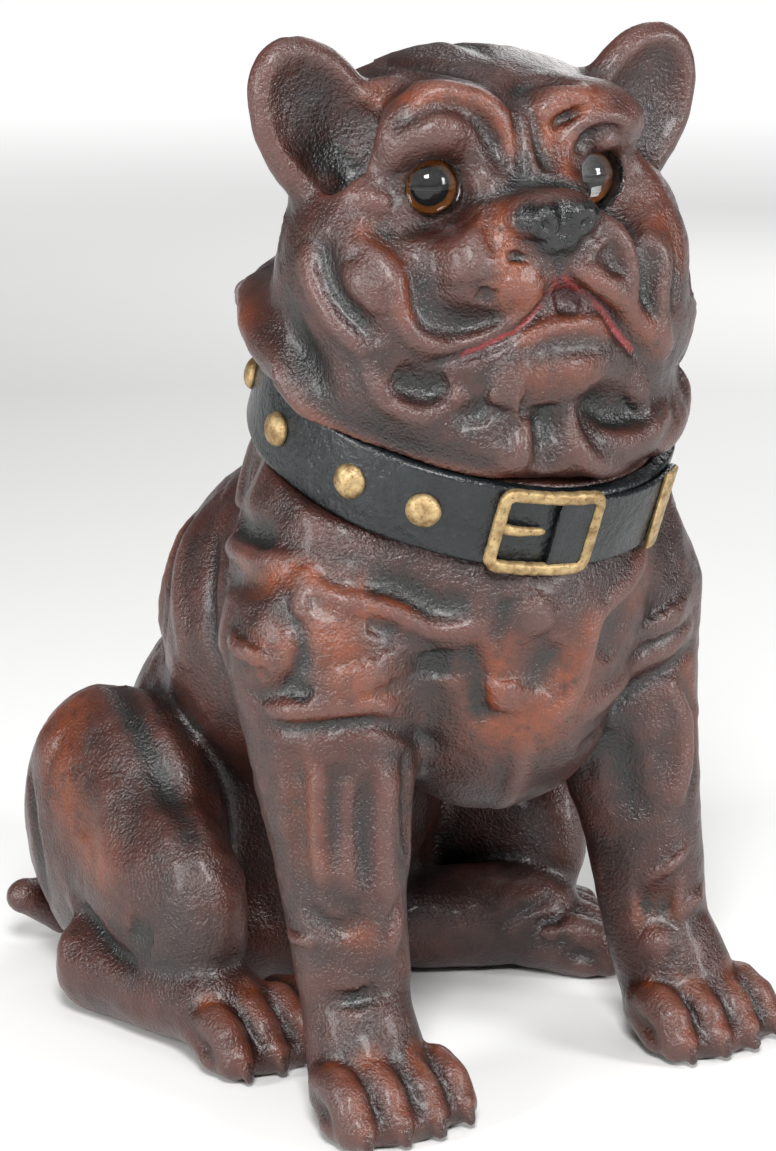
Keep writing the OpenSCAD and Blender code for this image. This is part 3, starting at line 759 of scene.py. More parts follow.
def thinOut(piece, share):
    # Fewer faces where the surface is flattest
    thin = piece.modifiers.new("thinOut", "DECIMATE")
    thin.ratio = share
    worked = piece.evaluated_get(bpy.context.evaluated_depsgraph_get())
    mesh = bpy.data.meshes.new_from_object(worked)
    piece.modifiers.clear()
    piece.data = mesh


def castPiece(name, clay, whole, strokes, frameMatrix):
    places, faces = clay.skin()
    places, faces = keepLargest(places, faces)
    piece = makeMesh(name, places, faces, frameMatrix)
    for mask, reach in (("fineRelief", 1.2), ("broadRelief", 3.2)):
        fine = whole.withField(whole.softened(reach))
        addMask(piece, mask, (whole.depth(places) - fine.depth(places)) / reach)
    for mask, lines in strokes.items():
        addMask(piece, mask, strokeMask(places, whole, lines))
    if 2 * len(faces) > bank["mostFaces"]:
        thinOut(piece, bank["mostFaces"] / (2 * len(faces)))
    print(name, len(piece.data.vertices), "places")
    return piece


class Amount:
    # A socket whose value varies over a surface, for use in sums and products
    def __init__(self, socket):
        self.socket = socket

    def worked(self, operation, first, second):
        tree = self.socket.id_data
        node = tree.nodes.new("ShaderNodeMath")
        node.operation = operation
        for entry, value in zip(node.inputs, (first, second)):
            if isinstance(value, Amount):
                tree.links.new(value.socket, entry)
            else:
                entry.default_value = value
        return Amount(node.outputs[0])

    def __add__(self, other):
        return self.worked("ADD", self, other)

    def __sub__(self, other):
        return self.worked("SUBTRACT", self, other)

    def __rsub__(self, other):
        return self.worked("SUBTRACT", other, self)

    def __mul__(self, other):
        return self.worked("MULTIPLY", self, other)

    __radd__ = __add__
    __rmul__ = __mul__

    def between(self, low, high):
        # 0 at low, 1 at high
        share = (self - low) * (1 / (high - low))
        return self.worked("MAXIMUM", self.worked("MINIMUM", share, 1), 0)


class Finish:
    # One material, from its fixed settings and a few nodes
    def __init__(self, name, **fixed):
        self.material = bpy.data.materials.new(name)
        self.material.use_nodes = True
        self.tree = self.material.node_tree
        self.shader = self.tree.nodes["Principled BSDF"]
        for socket, value in fixed.items():
            self.shader.inputs[socket.replace("_", " ")].default_value = value

    def node(self, kind, settings=None, inputs=None, output=0):
        made = self.tree.nodes.new("ShaderNode" + kind)
        for name, value in (settings or {}).items():
            setattr(made, name, value)
        for name, value in (inputs or {}).items():
            self.set(made.inputs[name], value)
        return Amount(made.outputs[output])

    def set(self, entry, value):
        if isinstance(value, Amount):
            self.tree.links.new(value.socket, entry)
        else:
            entry.default_value = value

    def mask(self, name):
        return self.node("Attribute", {"attribute_name": name}, output="Fac")

    def place(self):
        return self.node("TexCoord", output="Object")

    def noise(self, size, detail=3, rough=0.55, seed=0):
        # size is the width of a patch in millimetres
        shift = (seed * 0.37, seed * 0.11, 0)
        where = self.node("VectorMath", {"operation": "ADD"}, {0: self.place(), 1: shift})
        inputs = {"Vector": where, "Scale": 1 / (size * unit), "Detail": detail, "Roughness": rough}
        return self.node("TexNoise", {}, inputs)

    def mix(self, share, first, second):
        settings = {"data_type": "RGBA", "clamp_factor": True}
        return self.node("Mix", settings, {0: share, 6: first, 7: second}, 2)

    def apply(self, colour=None, rough=None, metal=None, height=None, depth=0.1):
        for socket, value in (("Base Color", colour), ("Roughness", rough), ("Metallic", metal)):
            if value is not None:
                self.set(self.shader.inputs[socket], value)
        if height is not None:
            bump = self.node("Bump", {}, {"Strength": 1, "Distance": depth * unit, "Height": height})
            self.set(self.shader.inputs["Normal"], bump)
        return self.material


paintColours = {
    "brown": (0.019, 0.0072, 0.0056, 1),
    "redBrown": (0.047, 0.0104, 0.0060, 1),
    "orange": (0.150, 0.032, 0.008, 1),
    # green-black: painted shade in the hollows, creases and shade strokes, and random dark mottling
    "shadeAndMottle": (0.0045, 0.0058, 0.0056, 1),
    # paler pink: a painted highlight on the high places
    "paintedSheen": (0.120, 0.052, 0.042, 1),
    "lip": (0.170, 0.006, 0.005, 1),
    "mouth": (0.030, 0.004, 0.004, 1),
    "nose": (0.0022, 0.0028, 0.0030, 1),
}


def castingPaint():
    # Red-brown enamel, with green-black painted shade in the hollows and creases mixed with random dark
    # mottling, and a paler painted highlight on the high places
    paint = Finish("castingPaint", Coat_Roughness=0.12, Specular_IOR_Level=0.55, Coat_Weight=0.1)
    fine = paint.mask("fineRelief")
    broad = paint.mask("broadRelief")
    shade = paint.mask("shade")
    black = paint.mask("black")
    red = paint.mask("red")
    patches = paint.noise(16, 3, 0.6, 1)
    mottle = paint.noise(4.2, 4, 0.62, 2)
    grain = paint.noise(0.85, 2, 0.5, 3)
    speck = paint.noise(0.42, 2, 0.5, 4)
    colours = paintColours
    hue = paint.mix(patches.between(0.40, 0.62), colours["brown"], colours["redBrown"])
    warm = paint.mask("warm") * mottle.between(0.22, 0.55)
    hue = paint.mix(warm.between(0.05, 0.9), hue, colours["orange"])
    # Painted highlight: a paler colour on the ridges and high places
    crest = (fine * -1.2 + broad * -1.0 + (grain - 0.5) * 0.5).between(0.10, 0.75)
    hue = paint.mix(crest * 0.42, hue, colours["paintedSheen"])
    # Painted shade: green-black in the hollows and creases and under the shade strokes, broken up by random
    # dark mottling
    cloud = (mottle - 0.5) * 1.3 + (patches - 0.5) * 1.4 + (grain - 0.5) * 0.7
    hollow = (fine * 0.8 + broad * 1.3 + shade * 0.60 + cloud).between(-0.05, 1.05)
    hue = paint.mix(hollow * 0.95, hue, colours["shadeAndMottle"])
    hue = paint.mix((red + (mottle - 0.5) * 0.5).between(0.35, 0.9), hue, colours["lip"])
    hue = paint.mix(paint.mask("mouth").between(0.25, 0.7), hue, colours["mouth"])
    hue = paint.mix(black.between(0.25, 0.7), hue, colours["nose"])
    rough = 0.17 + mottle * 0.15 + grain * 0.14 - black * 0.13
    height = grain + speck * 0.4 + mottle * 0.4
    return paint.apply(hue, rough, None, height, 0.42)


def strapLacquer():
    # Black lacquer with a blue-green cast, thick and uneven
    lacquer = Finish("strapLacquer", Coat_Weight=0.15, Coat_Roughness=0.2, Specular_IOR_Level=0.42)
    broad = lacquer.noise(9, 3, 0.6, 6)
    lumps = lacquer.noise(2.0, 4, 0.6, 7)
    hue = lacquer.mix(broad.between(0.35, 0.7), (0.003, 0.0045, 0.0055, 1), (0.008, 0.0115, 0.013, 1))
    # Painted highlight: paler blue-grey on the tops of the lumps
    hue = lacquer.mix(lumps.between(0.55, 0.75) * 0.5, hue, (0.026, 0.032, 0.035, 1))
    height = lumps + broad * 1.6 + lacquer.noise(0.8, 2, 0.5, 8) * 0.3
    return lacquer.apply(hue, 0.20 + lumps * 0.16, None, height, 0.5)


def giltPaint():
    gilt = Finish("giltPaint", Specular_IOR_Level=0.5)
    broad = gilt.noise(2.6, 3, 0.6, 9)
    fine = gilt.noise(0.8, 3, 0.6, 10)
    hue = gilt.mix(broad.between(0.3, 0.65), (0.18, 0.105, 0.040, 1), (0.46, 0.335, 0.165, 1))
    hue = gilt.mix(fine.between(0.58, 0.72) * 0.8, hue, (0.05, 0.028, 0.012, 1))
    return gilt.apply(hue, 0.36 + fine * 0.25, 0.62, fine + broad * 0.7, 0.22)


def screwSteel():
    steel = Finish("screwSteel", Metallic=0.9)
    fine = steel.noise(0.9, 3, 0.6, 12)
    hue = steel.mix(fine.between(0.4, 0.7), (0.42, 0.40, 0.36, 1), (0.16, 0.13, 0.10, 1))
    return steel.apply(hue, 0.32 + fine * 0.3, None, fine, 0.08)


def trapBlack():
    plate = Finish("trapBlack", Metallic=0.35)
    broad = plate.noise(6, 3, 0.6, 14)
    fine = plate.noise(0.8, 3, 0.6, 15)
    hue = plate.mix(broad.between(0.5, 0.7), (0.030, 0.028, 0.027, 1), (0.10, 0.07, 0.05, 1))
    return plate.apply(hue, 0.38 + fine * 0.25, None, fine + broad * 0.5, 0.1)


def puttyWhite():
    putty = Finish("puttyWhite", Roughness=0.8)
    broad = putty.noise(2, 3, 0.6, 16)
    hue = putty.mix(broad, (0.45, 0.41, 0.32, 1), (0.62, 0.58, 0.48, 1))
    return putty.apply(hue, None, None, broad, 0.15)


def clearGlass():
    glass = Finish("clearGlass", Base_Color=(1, 1, 1, 1), Transmission_Weight=1, IOR=1.42)
    wipe = glass.noise(3, 2, 0.5, 17)
    return glass.apply(None, 0.01 + wipe * 0.03, None, glass.noise(4, 1, 0.5, 18), 0.004)


def irisEnamel():
    # Amber with fine spokes, a dark rim and a black pupil
    iris = Finish("irisEnamel", Roughness=0.6, Specular_IOR_Level=0.03)
    radius = iris.mask("radius")
    spokes = iris.mask("spokes")
    hue = iris.mix(radius.between(0.55, 0.8), (0.075, 0.020, 0.003, 1), (0.20, 0.062, 0.007, 1))
    hue = iris.mix(spokes * 0.5, hue, (0.10, 0.028, 0.005, 1))
    hue = iris.mix(radius.between(0.80, 0.92), hue, (0.012, 0.006, 0.003, 1))
    hue = iris.mix(radius.between(0.62, 0.56), hue, (0.0006, 0.0006, 0.0006, 1))
    return iris.apply(hue, None, None, spokes * radius.between(0.5, 0.6), 0.04)


# Brush strokes: width, strength, and a line over the surface
warmStrokes = {
    "nose side": (4.5, 1.0, [(-12, 4), (-11, -2), (-8, -8), (-4, -12)]),
    "right muzzle": (4.0, 0.8, [(-12, -10), (-7, -13)]),
    "right brow": (3.0, 0.9, [(-28, 29), (-17, 31), (-8, 28), (-4, 20)]),
    "left brow": (4.5, 1.0, [(5, 21), (8, 27), (15, 28)]),
    "left lid": (2.5, 0.8, [(8, 13), (10, 19)]),
    "right cheek": (3.0, 0.7, [(-36, 2), (-31, -4), (-31, -14)]),
    "lower lip": (2.5, 0.7, [(-7, -20), (3, -18), (14, -20)]),
    "left flew": (3.5, 0.7, [(8, -10), (20, -17), (30, -26)]),
    "left cheek": (5.0, 0.6, [(30, 4), (36, -6)]),
    "chin": (5.0, 0.5, [(-6, -29), (8, -28)]),
    "scruff": (8.0, 0.7, [(-50, 0, -25), (-48, 10, -30)]),
    "rim": (3.0, 0.5, [(-47, -29, -37), (-33, -44, -49.5), (-8, -56, -53)]),
}
redStrokes = {
    "right lip": (0.9, 1.0, [(1.2, -8), (-1, -13), (-6, -17.2), (-13, -20.8), (-19, -23.6)]),
    "left lip": (1.15, 1.0, [(2.6, -8), (8, -12), (13.5, -16.5), (17, -21), (22, -26)]),
    "inner lip": (1.2, 0.7, [(1.5, -9.5), (2.5, -10.5), (4, -10.5)]),
}
mouthStrokes = {
    "tongue": (2.6, 1.0, [(0.5, -13.4), (4, -12.8), (8, -14.3)]),
    "lip shadow": (0.9, 0.7, [(-3, -16.6), (-9, -20), (-15, -22.8), (-22, -25.4)]),
}
blackStrokes = {
    "nose": (4.6, 1.0, [(-7.5, 5.8), (0, 5), (8.2, 5.8)]),
    "under nose": (3.8, 1.0, [(-4.5, 1.5), (1, -1.5), (6, 1.5)]),
    "lip line": (1.4, 0.6, [(0.9, -2), (1.2, -5), (1.8, -8)]),
}
# Painted shade: a thin black ring round each eye glass, where the lid meets the glass
for side in (-1, 1):
    blackStrokes[f"eye rim {side}"] = (1.1, 0.9, eyeRing(side, 6.7, 6.7, 2.4, 25))
shadeStrokes = {
    "right ear": (9.0, 1.1, [(-36, -23, 14), (-40, -23, 22), (-44, -23, 32)]),
    "right socket": (3.0, 1.0, [(-26.4, -34.5, 10), (-24, -36, 15.2), (-19, -37.5, 17.2),
        (-14, -38.5, 14.6), (-12.4, -38.7, 9.5), (-14.6, -38.3, 5.2), (-19, -37.2, 3.2), (-24, -35.6, 5)]),
    "frown": (3.0, 0.8, [(0, 12), (0, 20), (1, 29)]),
    "stop": (2.6, 0.8, [(-14, 8), (-3, 12), (12, 9)]),
    "crown": (6.0, 0.9, [(0, -26, 37), (0, -10, 38), (0, 8, 31)]),
    "right fold": (3.5, 0.6, [(-33, 1), (-29, -8), (-26, -15)]),
    "right jowl": (6.0, 1.0, [(-48, -26, -18), (-44, -37, -36), (-30, -50, -43), (-10, -57, -45)]),
    "right pocket": (5.0, 0.45, [(-32, -29), (-24, -31)]),
    "cleft": (3.6, 0.5, [(-1.5, -34), (-1.8, -42), (-2.4, -50)]),
    "left pocket": (5.0, 0.5, [(10, -33), (16, -40), (28, -41)]),
    "under lip": (4.0, 0.7, [(-14, -25), (0, -24), (12, -25)]),
    "left fold": (3.0, 0.7, [(21, 2), (24, -8), (28, -20)]),
    "right groove": (3.0, 0.8, [(-44, -35, -4), (-41, -43, -16)]),
    "right seam": (1.5, 1.3, [(-40, -5, 26), (-44, -10, 10), (-48, -13.5, -1), (-50, -17.5, -13),
        (-50, -20.8, -24), (-49, -24, -34)]),
    "nape": (12.0, 0.7, [(-30, 30, -24), (0, 46, -24), (30, 30, -24)]),
}
for word in ("ear", "socket", "seam"):
    width, strength, points = shadeStrokes[f"right {word}"]
    shadeStrokes[f"left {word}"] = (width, strength, mirrored(points))
bodyWarmStrokes = {
    "right shelf": (3.5, 0.9, [(-55, -30, 123), (-53, -45, 122), (-47, -55, 118), (-36, -60, 114)]),
    "bump": (6.0, 0.7, [(-61, -45, 105), (-59, -50, 108)]),
    "right shoulder": (7.0, 0.8, [(-52, -56, 112), (-48, -60, 103), (-44, -61, 97)]),
    "arm fold": (3.0, 0.7, [(-58, -53, 93), (-48, -60, 94)]),
    "breast": (9.0, 0.9, [(-16, -68, 100), (-12, -66, 90), (-3, -69, 90), (3, -71, 98)]),
    "breast side": (4.0, 0.8, [(6, -73, 108), (5, -72, 100), (-2, -70, 88)]),
    "neck": (5.0, 0.5, [(26, -64, 119), (14, -72, 112)]),
    "ribs": (2.4, 0.9, [(-29, 44, 122), (-33, 44, 108), (-33, 48, 92)]),
    "second rib": (2.4, 0.7, [(-33, 35, 120), (-39, 34, 108), (-40, 35, 94)]),
    "haunch": (8.0, 0.8, [(-56, 62, 64), (-55, 50, 70), (-60, 40, 50), (-64, 20, 40)]),
    "right forearm": (5.0, 0.6, [(-58, -53, 80), (-57, -54, 60)]),
    "right wrist": (3.0, 0.7, [(-49, -61, 44), (-47, -62, 43)]),
    "left forearm": (5.0, 0.6, [(46, -58, 88), (46, -60, 70)]),
    "left wrist": (4.5, 0.9, [(33, -62, 33), (37, -63, 33)]),
}
bodyShadeStrokes = {
    "right chest": (6.0, 1.0, [(-29, -64, 108), (-26, -65, 99), (-22, -66, 92)]),
    "shoulder pocket": (4.0, 1.0, [(-50, -20, 128), (-54, -36, 128)]),
    "above collar bone": (5.0, 0.9, [(-44, -53, 122), (-31, -63, 117), (-20, -70, 116)]),
    "bump side": (3.5, 0.9, [(-58, -50, 114), (-57, -54, 103), (-57, -54, 98)]),
    "right forearm": (7.0, 0.35, [(-51, -60, 86), (-51, -60, 70), (-50, -61, 56)]),
    "right wrist": (6.0, 0.6, [(-50, -64, 34), (-50, -65, 24)]),
    "left forearm": (7.0, 0.9, [(28, -57, 80), (31, -58, 66), (35, -59, 54)]),
    "left wrist": (5.0, 0.6, [(34, -64, 24), (42, -64, 26)]),
    "breast": (3.5, 0.8, [(-5, -72, 102), (-8, -71, 97)]),
    "right flank": (7.0, 0.9, [(-46, 44, 78), (-51, 28, 70), (-54, 10, 58), (-54, -4, 46)]),
    "hock": (6.0, 0.9, [(-65, 12, 26), (-62, -2, 24)]),
    "rump side": (5.0, 0.7, [(-62, 58, 48), (-62, 55, 26)]),
    "belly": (12.0, 0.8, [(0, -50, 60), (0, -30, 56), (0, -10, 50)]),
    "sole": (6.0, 0.8, [(36, -14, 14), (44, -18, 12)]),
    "spine": (7.0, 0.6, [(0, 34, 132), (0, 60, 98), (0, 78, 62)]),
}
width, strength, points = bodyShadeStrokes["right flank"]
bodyShadeStrokes["left flank"] = (width, strength, mirrored(points))

# A warm stroke over every toe, a black one on its claw
clawStrokes = {}
for x, y, turn in clawedPaws:
    place = placed((x, y, 0), (0, 0, turn))
    for toe in toes:
        back = 1.6 * abs(toe)
        knuckles = [(toe * 8.6, 2, 15), (toe * 9.2, -9, 11), (toe * 9.3, -14, 7)]
        knuckles = [tuple(place @ Vector(spot)) for spot in knuckles]
        claw = [(toe * 9.3, -15.4 + back, 4.6), (toe * 9.4, -16.6 + back, 2)]
        claw = [tuple(place @ Vector(spot)) for spot in claw]
        bodyWarmStrokes[f"toe {x} {y} {toe}"] = (2.6, 0.75, knuckles)
        clawStrokes[f"claw {x} {y} {toe}"] = (1.8, 0.55, claw)

paint = castingPaint()
head = modelHead()
face, nape = splitHead(head)
headStrokes = {"warm": warmStrokes, "red": redStrokes, "black": blackStrokes, "shade": shadeStrokes,
               "mouth": mouthStrokes}
castings = [("face_casting", castPiece("faceCasting", face, head, headStrokes, headFrame)),
            ("nape_casting", castPiece("napeCasting", nape, head, headStrokes, headFrame))]
body = modelBody()
chest, back = splitBody(body)
bodyStrokes = {"warm": bodyWarmStrokes, "red": {}, "black": clawStrokes, "shade": bodyShadeStrokes,
               "mouth": {}}
castings.append(("chest_casting", castPiece("chestCasting", chest, body, bodyStrokes, plain)))
castings.append(("back_casting", castPiece("backCasting", back, body, bodyStrokes, plain)))
for node, piece in castings:
    addPiece(piece, paint, node)
print("castings done")


collar = {
    "front": -90,
    "studAngles": (-205, -173, -144, -123),
    "studWidth": 8,
    "buckleHalf": 15.1,
    "keeperAt": 43,
    "bar": 2.8,
    "width": 19,
    "tongueThick": 1.6,
}


def onNeck(angle, radius, height):
    turn = math.radians(angle)
    return (radius * math.cos(turn), radius * math.sin(turn), height)


def sweep(name, rings, closed):
    # Skins a row of outlines that all have the same number of points
    count = len(rings[0])
    places = np.array([p for ring in rings for p in ring])
    faces = []
    for i in range(len(rings) - (0 if closed else 1)):
        follow = (i + 1) % len(rings)
        for j in range(count):
            k = (j + 1) % count
            faces.append((i * count + j, i * count + k, follow * count + k, follow * count + j))
    if not closed:
        faces.append(tuple(range(count))[::-1])
        faces.append(tuple((len(rings) - 1) * count + j for j in range(count)))
    return evenNormals(makeMesh(name, places, faces, neckFrame))


def softBox(width, thick, corner=0.6, count=5):
    # Rounded outline of a flat band: (across, out)
    corners = ((1, 1), (-1, 1), (-1, -1), (1, -1))
    outline = []
    for index, (a, b) in enumerate(corners):
        for step in range(count):
            turn = math.radians(90 * index + 90 * step / (count - 1))
            outline.append((a * (width / 2 - corner) + corner * math.cos(turn),
                            b * (thick / 2 - corner) + corner * math.sin(turn)))
    return outline


def makeStrap():
    # Thick strap: a little crowned, its edges worn round and slightly wavy
    dice = np.random.default_rng(8)
    waves = dice.normal(size=(2, 9)) * 0.10
    middle = (neck["strapInner"] + neck["strapOuter"]) / 2
    thick = neck["strapOuter"] - neck["strapInner"]
    rings = []
    for angle in np.arange(0, 360, 1.5):
        turn = math.radians(angle)
        wave = [sum(waves[row][k] * math.sin((k + 2) * turn + k * 1.7) for k in range(9)) for row in (0, 1)]
        ring = []
        for across, out in softBox(collar["width"], thick, 1.1, 6):
            crown = 0.25 * (1 - (2 * across / collar["width"]) ** 2) if out > 0 else 0
            shift = 0.4 * wave[0] if out > 0 else 0
            edge = wave[1] * (1 if across > 0 else -1) - 0.2
            height = across + edge * (abs(across) > 5) * 0.6
            ring.append(onNeck(angle, middle + out + crown + shift - 0.1, height))
        rings.append(ring)
    return sweep("collarStrap", rings, True)


def makeTongue():
    # The strap's end, past the buckle, with a rounded tip
    rings = []
    base = neck["strapOuter"] + 0.2
    start = collar["front"] + collar["buckleHalf"] - 13
    end = collar["front"] + 56.5
    for share in np.linspace(0, 1, 48):
        angle = start + (end - start) * share
        left = (end - angle) * math.radians(1) * base
        width = (collar["width"] - 2.4) * math.sqrt(max(0.02, 1 - max(0, 1 - left / 7) ** 2.4))
        thick = collar["tongueThick"]
        rings.append([onNeck(angle, base + thick / 2 + out, across)
                      for across, out in softBox(width, thick, min(0.6, width / 2 - 0.05), 5)])
    return sweep("strapEnd", rings, False)


def makeBuckle():
    # A soft-cornered frame of round bar, cast in one
    radius = neck["strapOuter"] + collar["bar"] / 2 - 0.1
    halfWide = math.radians(collar["buckleHalf"]) * radius - collar["bar"] / 2
    halfHigh = (collar["width"] + 1.5) / 2 - collar["bar"] / 2
    corner = 2.2
    path = []
    for index, (a, b) in enumerate(((1, 1), (-1, 1), (-1, -1), (1, -1))):
        for step in range(7):
            turn = math.radians(90 * index + 15 * step)
            path.append((a * (halfWide - corner) + corner * math.cos(turn),
                         b * (halfHigh - corner) + corner * math.sin(turn)))
    dense = []
    for (x0, y0), (x1, y1) in zip(path, path[1:] + path[:1]):
        count = max(1, round(math.hypot(x1 - x0, y1 - y0) / 1.2))
        dense += [(x0 + (x1 - x0) * k / count, y0 + (y1 - y0) * k / count) for k in range(count)]
    dice = np.random.default_rng(5)
    rings = []
    for i, (x, y) in enumerate(dense):
        nextX, nextY = dense[(i + 1) % len(dense)]
        lastX, lastY = dense[i - 1]
        along = Vector((nextX - lastX, nextY - lastY)).normalized()
        side = Vector((along[1], -along[0]))
        size = 1 + 0.05 * dice.normal()
        ring = []
        for across, out in softBox(collar["bar"] * size, collar["bar"] * 0.9, 0.95, 4):
            spot = Vector((x, y)) + side * across
            ring.append(onNeck(collar["front"] + math.degrees(spot[0] / radius), radius + out, spot[1]))
        rings.append(ring)
    return sweep("buckleFrame", rings, True)


def makeProng():
    rings = []
    radius = neck["strapOuter"] + 1.2
    for share in np.linspace(0, 1, 18):
        angle = collar["front"] - 13.2 + 12.4 * share
        size = 1.35 * (1 - 0.35 * share) * math.sqrt(max(0.03, 1 - max(0, (share - 0.86) / 0.15) ** 2))
        lift = 0.9 * math.sin(math.pi * min(1, share * 1.15)) ** 2 * (1 - share)
        rings.append([onNeck(angle, radius + lift + size * 0.8 * math.sin(t), size * math.cos(t) + 0.4)
                      for t in np.linspace(0, 2 * math.pi, 12, endpoint=False)])
    return sweep("buckleProng", rings, False)


def makeKeeper():
    rings = []
    base = neck["strapOuter"] + collar["tongueThick"] + 0.3
    for share in np.linspace(-1, 1, 12):
        angle = collar["front"] + collar["keeperAt"] + 3.4 * share
        thick = 1.3 * (1 - 0.25 * share * share)
        rings.append([onNeck(angle, base + thick / 2 + out, across)
                      for across, out in softBox(collar["width"] + 0.4, thick, 0.5, 5)])
    return sweep("strapKeeper", rings, False)


def makeStuds():
    # Flattened domes, each a little different, sunk in the lacquer
    dice = np.random.default_rng(11)
    places = []
    faces = []
    for stud in collar["studAngles"]:
        out = Vector(onNeck(stud, 1, 0))
        side = Vector((-out[1], out[0], 0))
        first = len(places)
        rows = 9
        around = 28
        uneven = dice.normal(size=(3, 4)) * 0.12
        for row in range(rows):
            share = row / (rows - 1)
            lean = math.radians(90) * (1 - share)
            for k in range(around):
                turn = 2 * math.pi * k / around
                wobble = 1 + 0.03 * sum(uneven[0][n] * math.cos((n + 2) * turn + n) for n in range(4)) * 4
                radius = collar["studWidth"] / 2 * math.sin(lean) * wobble * 0.98 + 0.02
                height = 2.7 * math.cos(lean) ** 0.9 + 0.12 * uneven[1][k % 4] * math.sin(lean) + 0.1
                spot = out * (neck["strapOuter"] - 0.25 + height) + side * radius * math.cos(turn)
                places.append((spot[0], spot[1], radius * math.sin(turn)))
        for row in range(rows - 1):
            for k in range(around):
                n = (k + 1) % around
                faces.append((first + row * around + k, first + row * around + n,
                              first + (row + 1) * around + n, first + (row + 1) * around + k))
        faces.append(tuple(first + k for k in range(around))[::-1])
        faces.append(tuple(first + (rows - 1) * around + k for k in range(around)))
    return evenNormals(makeMesh("collarStuds", np.array(places), faces, neckFrame))


lacquer = strapLacquer()
gilt = giltPaint()
addPiece(makeStrap(), lacquer, "collar_strap")
addPiece(makeTongue(), lacquer, "strap_end")
addPiece(makeBuckle(), gilt, "buckle_frame")
addPiece(makeProng(), gilt, "buckle_prong")
addPiece(makeKeeper(), gilt, "strap_keeper")
addPiece(makeStuds(), gilt, "collar_studs")
print("collar done")


eyeSizes = {
    "radius": 6,
    "dome": 3.4,
    "back": -1.55,
    "enamelBack": -2.3,
}


def lathe(name, outline, place, around=64):
    rings = []
    for k in range(around):
        turn = 2 * math.pi * k / around
        rings.append([(r * math.cos(turn), r * math.sin(turn), z) for r, z in outline])
    count = len(outline)
    places = np.array([p for ring in rings for p in ring])
    faces = []
    for i in range(around):
        follow = (i + 1) % around
        for j in range(count - 1):
            faces.append((i * count + j, follow * count + j, follow * count + j + 1, i * count + j + 1))
    return evenNormals(makeMesh(name, places, faces, place), weld=0.00002)


def makeGlass(side, name):
    # A blown dome with a flat back and a softly turned edge
    radius = eyeSizes["radius"]
    dome = eyeSizes["dome"]
    ball = (radius * radius + dome * dome) / (2 * dome)
    wide = math.asin(radius / ball) if radius < ball else math.pi / 2
    outline = [(ball * math.sin(a), dome - ball + ball * math.cos(a)) for a in np.linspace(0, wide, 20)]
    flat = eyeSizes["back"]
    outline += [(radius, -0.6), (radius - 0.2, -1.2), (radius - 0.7, flat),
                (radius - 0.85, flat), (radius / 2, flat), (0, flat)]
    return lathe(name, outline, headFrame @ eyeFrame(side))


def makeIris(side, name):
    # Enamel on the back of the glass, dished towards the pupil
    radius = eyeSizes["radius"] - 0.2
    steps = np.linspace(0, radius, 40)
    outline = [(r, -1.62 - 0.25 * math.cos(r / radius * math.pi / 2)) for r in steps]
    outline += [(radius, eyeSizes["enamelBack"]), (0, eyeSizes["enamelBack"])]
    place = headFrame @ eyeFrame(side)
    piece = lathe(name, outline, place, 96)
    centre = Vector(tuple(unit * v for v in place.translation))
    axes = place.to_3x3().transposed()
    radii = []
    spokes = []
    for vertex in piece.data.vertices:
        local = axes @ (vertex.co - centre)
        reach = math.hypot(local[0], local[1]) / (unit * radius)
        turn = math.atan2(local[1], local[0])
        radii.append(reach)
        spokes.append(0.5 + 0.25 * math.sin(31 * turn) + 0.25 * math.sin(47 * turn + 6 * reach))
    addMask(piece, "radius", np.array(radii))
    addMask(piece, "spokes", np.array(spokes))
    return piece


glass = clearGlass()
enamel = irisEnamel()
putty = puttyWhite()
for side, word in ((-1, "right"), (1, "left")):
    addPiece(makeGlass(side, "eyeGlass" + word.title()), glass, "eye_glass_" + word)
    addPiece(makeIris(side, "eyeIris" + word.title()), enamel, "eye_iris_" + word)
print("eyes done")


steel = screwSteel()
plate = trapBlack()
kept = {
    "body_screw": steel,
    "head_screw": steel,
    "trap_latch": steel,
    "trap_washer": steel,
    "trap_rivet": steel,
    "trap_cover": plate,
    "eye_putty_right": putty,
    "eye_putty_left": putty,
}
for node, material in kept.items():
    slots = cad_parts[node].data.materials
    slots.clear()
    slots.append(material)


studio = {
    "floorColour": (0.82, 0.82, 0.81, 1),
    "floorPatch": (0.84, 0.84, 0.83, 1),
    "world": 0.16,
    "backGlow": 0.85,
    "lights": {
        "keyLight": ((-0.60, -0.85, 1.00), 0.32, 19),
        "sideLight": ((-1.1, 0.0, 0.45), 0.34, 10),
        "fillLight": ((0.65, -1.15, 0.55), 0.34, 13),
        "topLight": ((0.1, 0.0, 1.3), 0.6, 3),
        "rimLight": ((0.9, 0.7, 0.6), 0.5, 3),
    },
    "aim": (0.00062, -0.00309, 0.10609),
    "side": -34.76,
    "rise": 13.81,
    "distance": 0.842,
    "lens": 111.5,
}


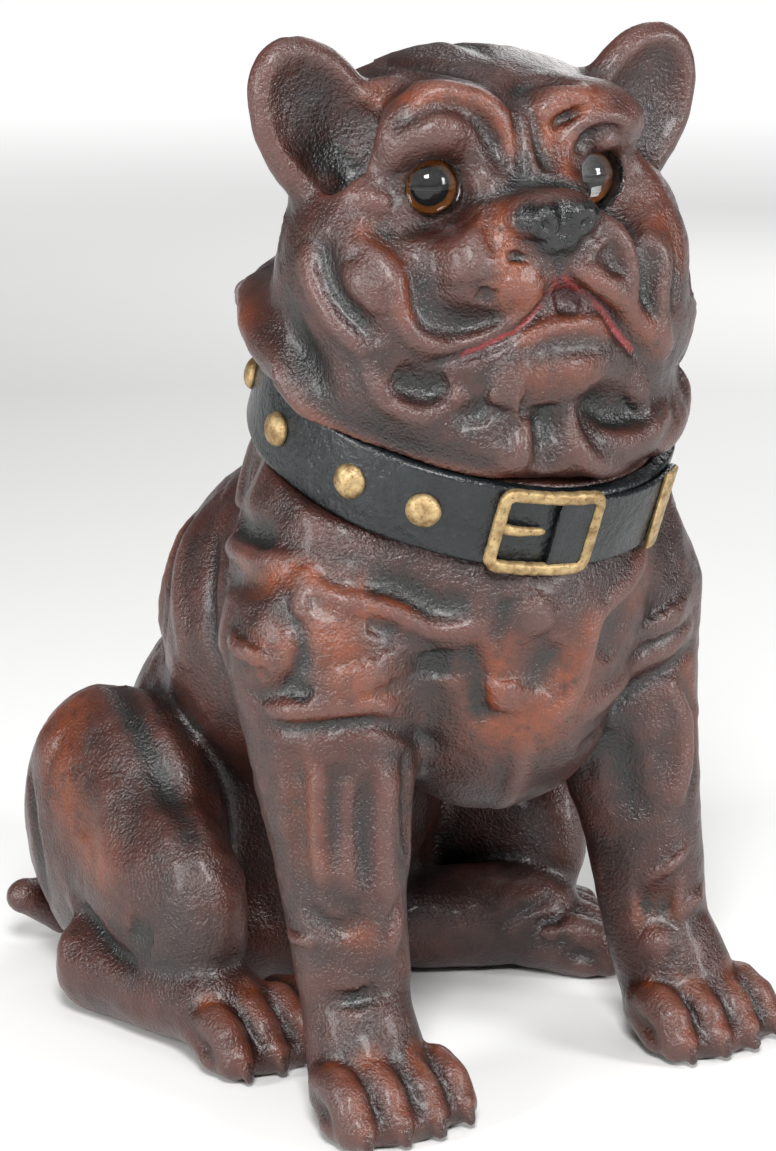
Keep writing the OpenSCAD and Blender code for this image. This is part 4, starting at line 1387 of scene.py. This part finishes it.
def buildFloor():
    mesh = bpy.data.meshes.new("floor")
    mesh.from_pydata([(-6, -6, 0), (6, -6, 0), (6, 6, 0), (-6, 6, 0)], [], [(0, 1, 2, 3)])
    floor = bpy.data.objects.new("floor", mesh)
    bpy.context.scene.collection.objects.link(floor)
    pale = Finish("paleFloor", Roughness=0.7, Emission_Strength=studio["backGlow"])
    tone = pale.noise(200, 3, 0.5, 20)
    # The far part glows a little, so that it stays as pale as the part under the lights
    away = pale.node("VectorMath", {"operation": "LENGTH"}, {0: pale.place()}, 1)
    glow = pale.mix(away.between(0.8, 2.0), (0, 0, 0, 1), (1, 1, 1, 1))
    pale.set(pale.shader.inputs["Emission Color"], glow)
    mesh.materials.append(pale.apply(pale.mix(tone, studio["floorColour"], studio["floorPatch"])))


def buildLights():
    world = bpy.data.worlds.new("studio")
    world.use_nodes = True
    backdrop = world.node_tree.nodes["Background"].inputs
    backdrop["Color"].default_value = (1, 1, 1, 1)
    backdrop["Strength"].default_value = studio["world"]
    bpy.context.scene.world = world
    bpy.context.scene.view_settings.view_transform = "Standard"
    for name, (at, size, power) in studio["lights"].items():
        data = bpy.data.lights.new(name, "AREA")
        data.shape = "RECTANGLE"
        data.size = size
        data.size_y = size * 1.3
        data.energy = power
        light = bpy.data.objects.new(name, data)
        light.location = at
        toward = Vector(studio["aim"]) - Vector(at)
        light.rotation_euler = toward.to_track_quat("-Z", "Y").to_euler()
        bpy.context.scene.collection.objects.link(light)


def buildCamera():
    side = math.radians(studio["side"])
    rise = math.radians(studio["rise"])
    back = Vector((math.sin(side) * math.cos(rise), -math.cos(side) * math.cos(rise), math.sin(rise)))
    data = bpy.data.cameras.new("camera")
    data.sensor_fit = "VERTICAL"
    data.sensor_height = 36
    data.lens = studio["lens"]
    camera = bpy.data.objects.new("camera", data)
    camera.location = Vector(studio["aim"]) + back * studio["distance"]
    camera.rotation_euler = (-back).to_track_quat("-Z", "Y").to_euler()
    bpy.context.scene.collection.objects.link(camera)
    bpy.context.scene.camera = camera


buildFloor()
buildLights()
buildCamera()
print("studio done")
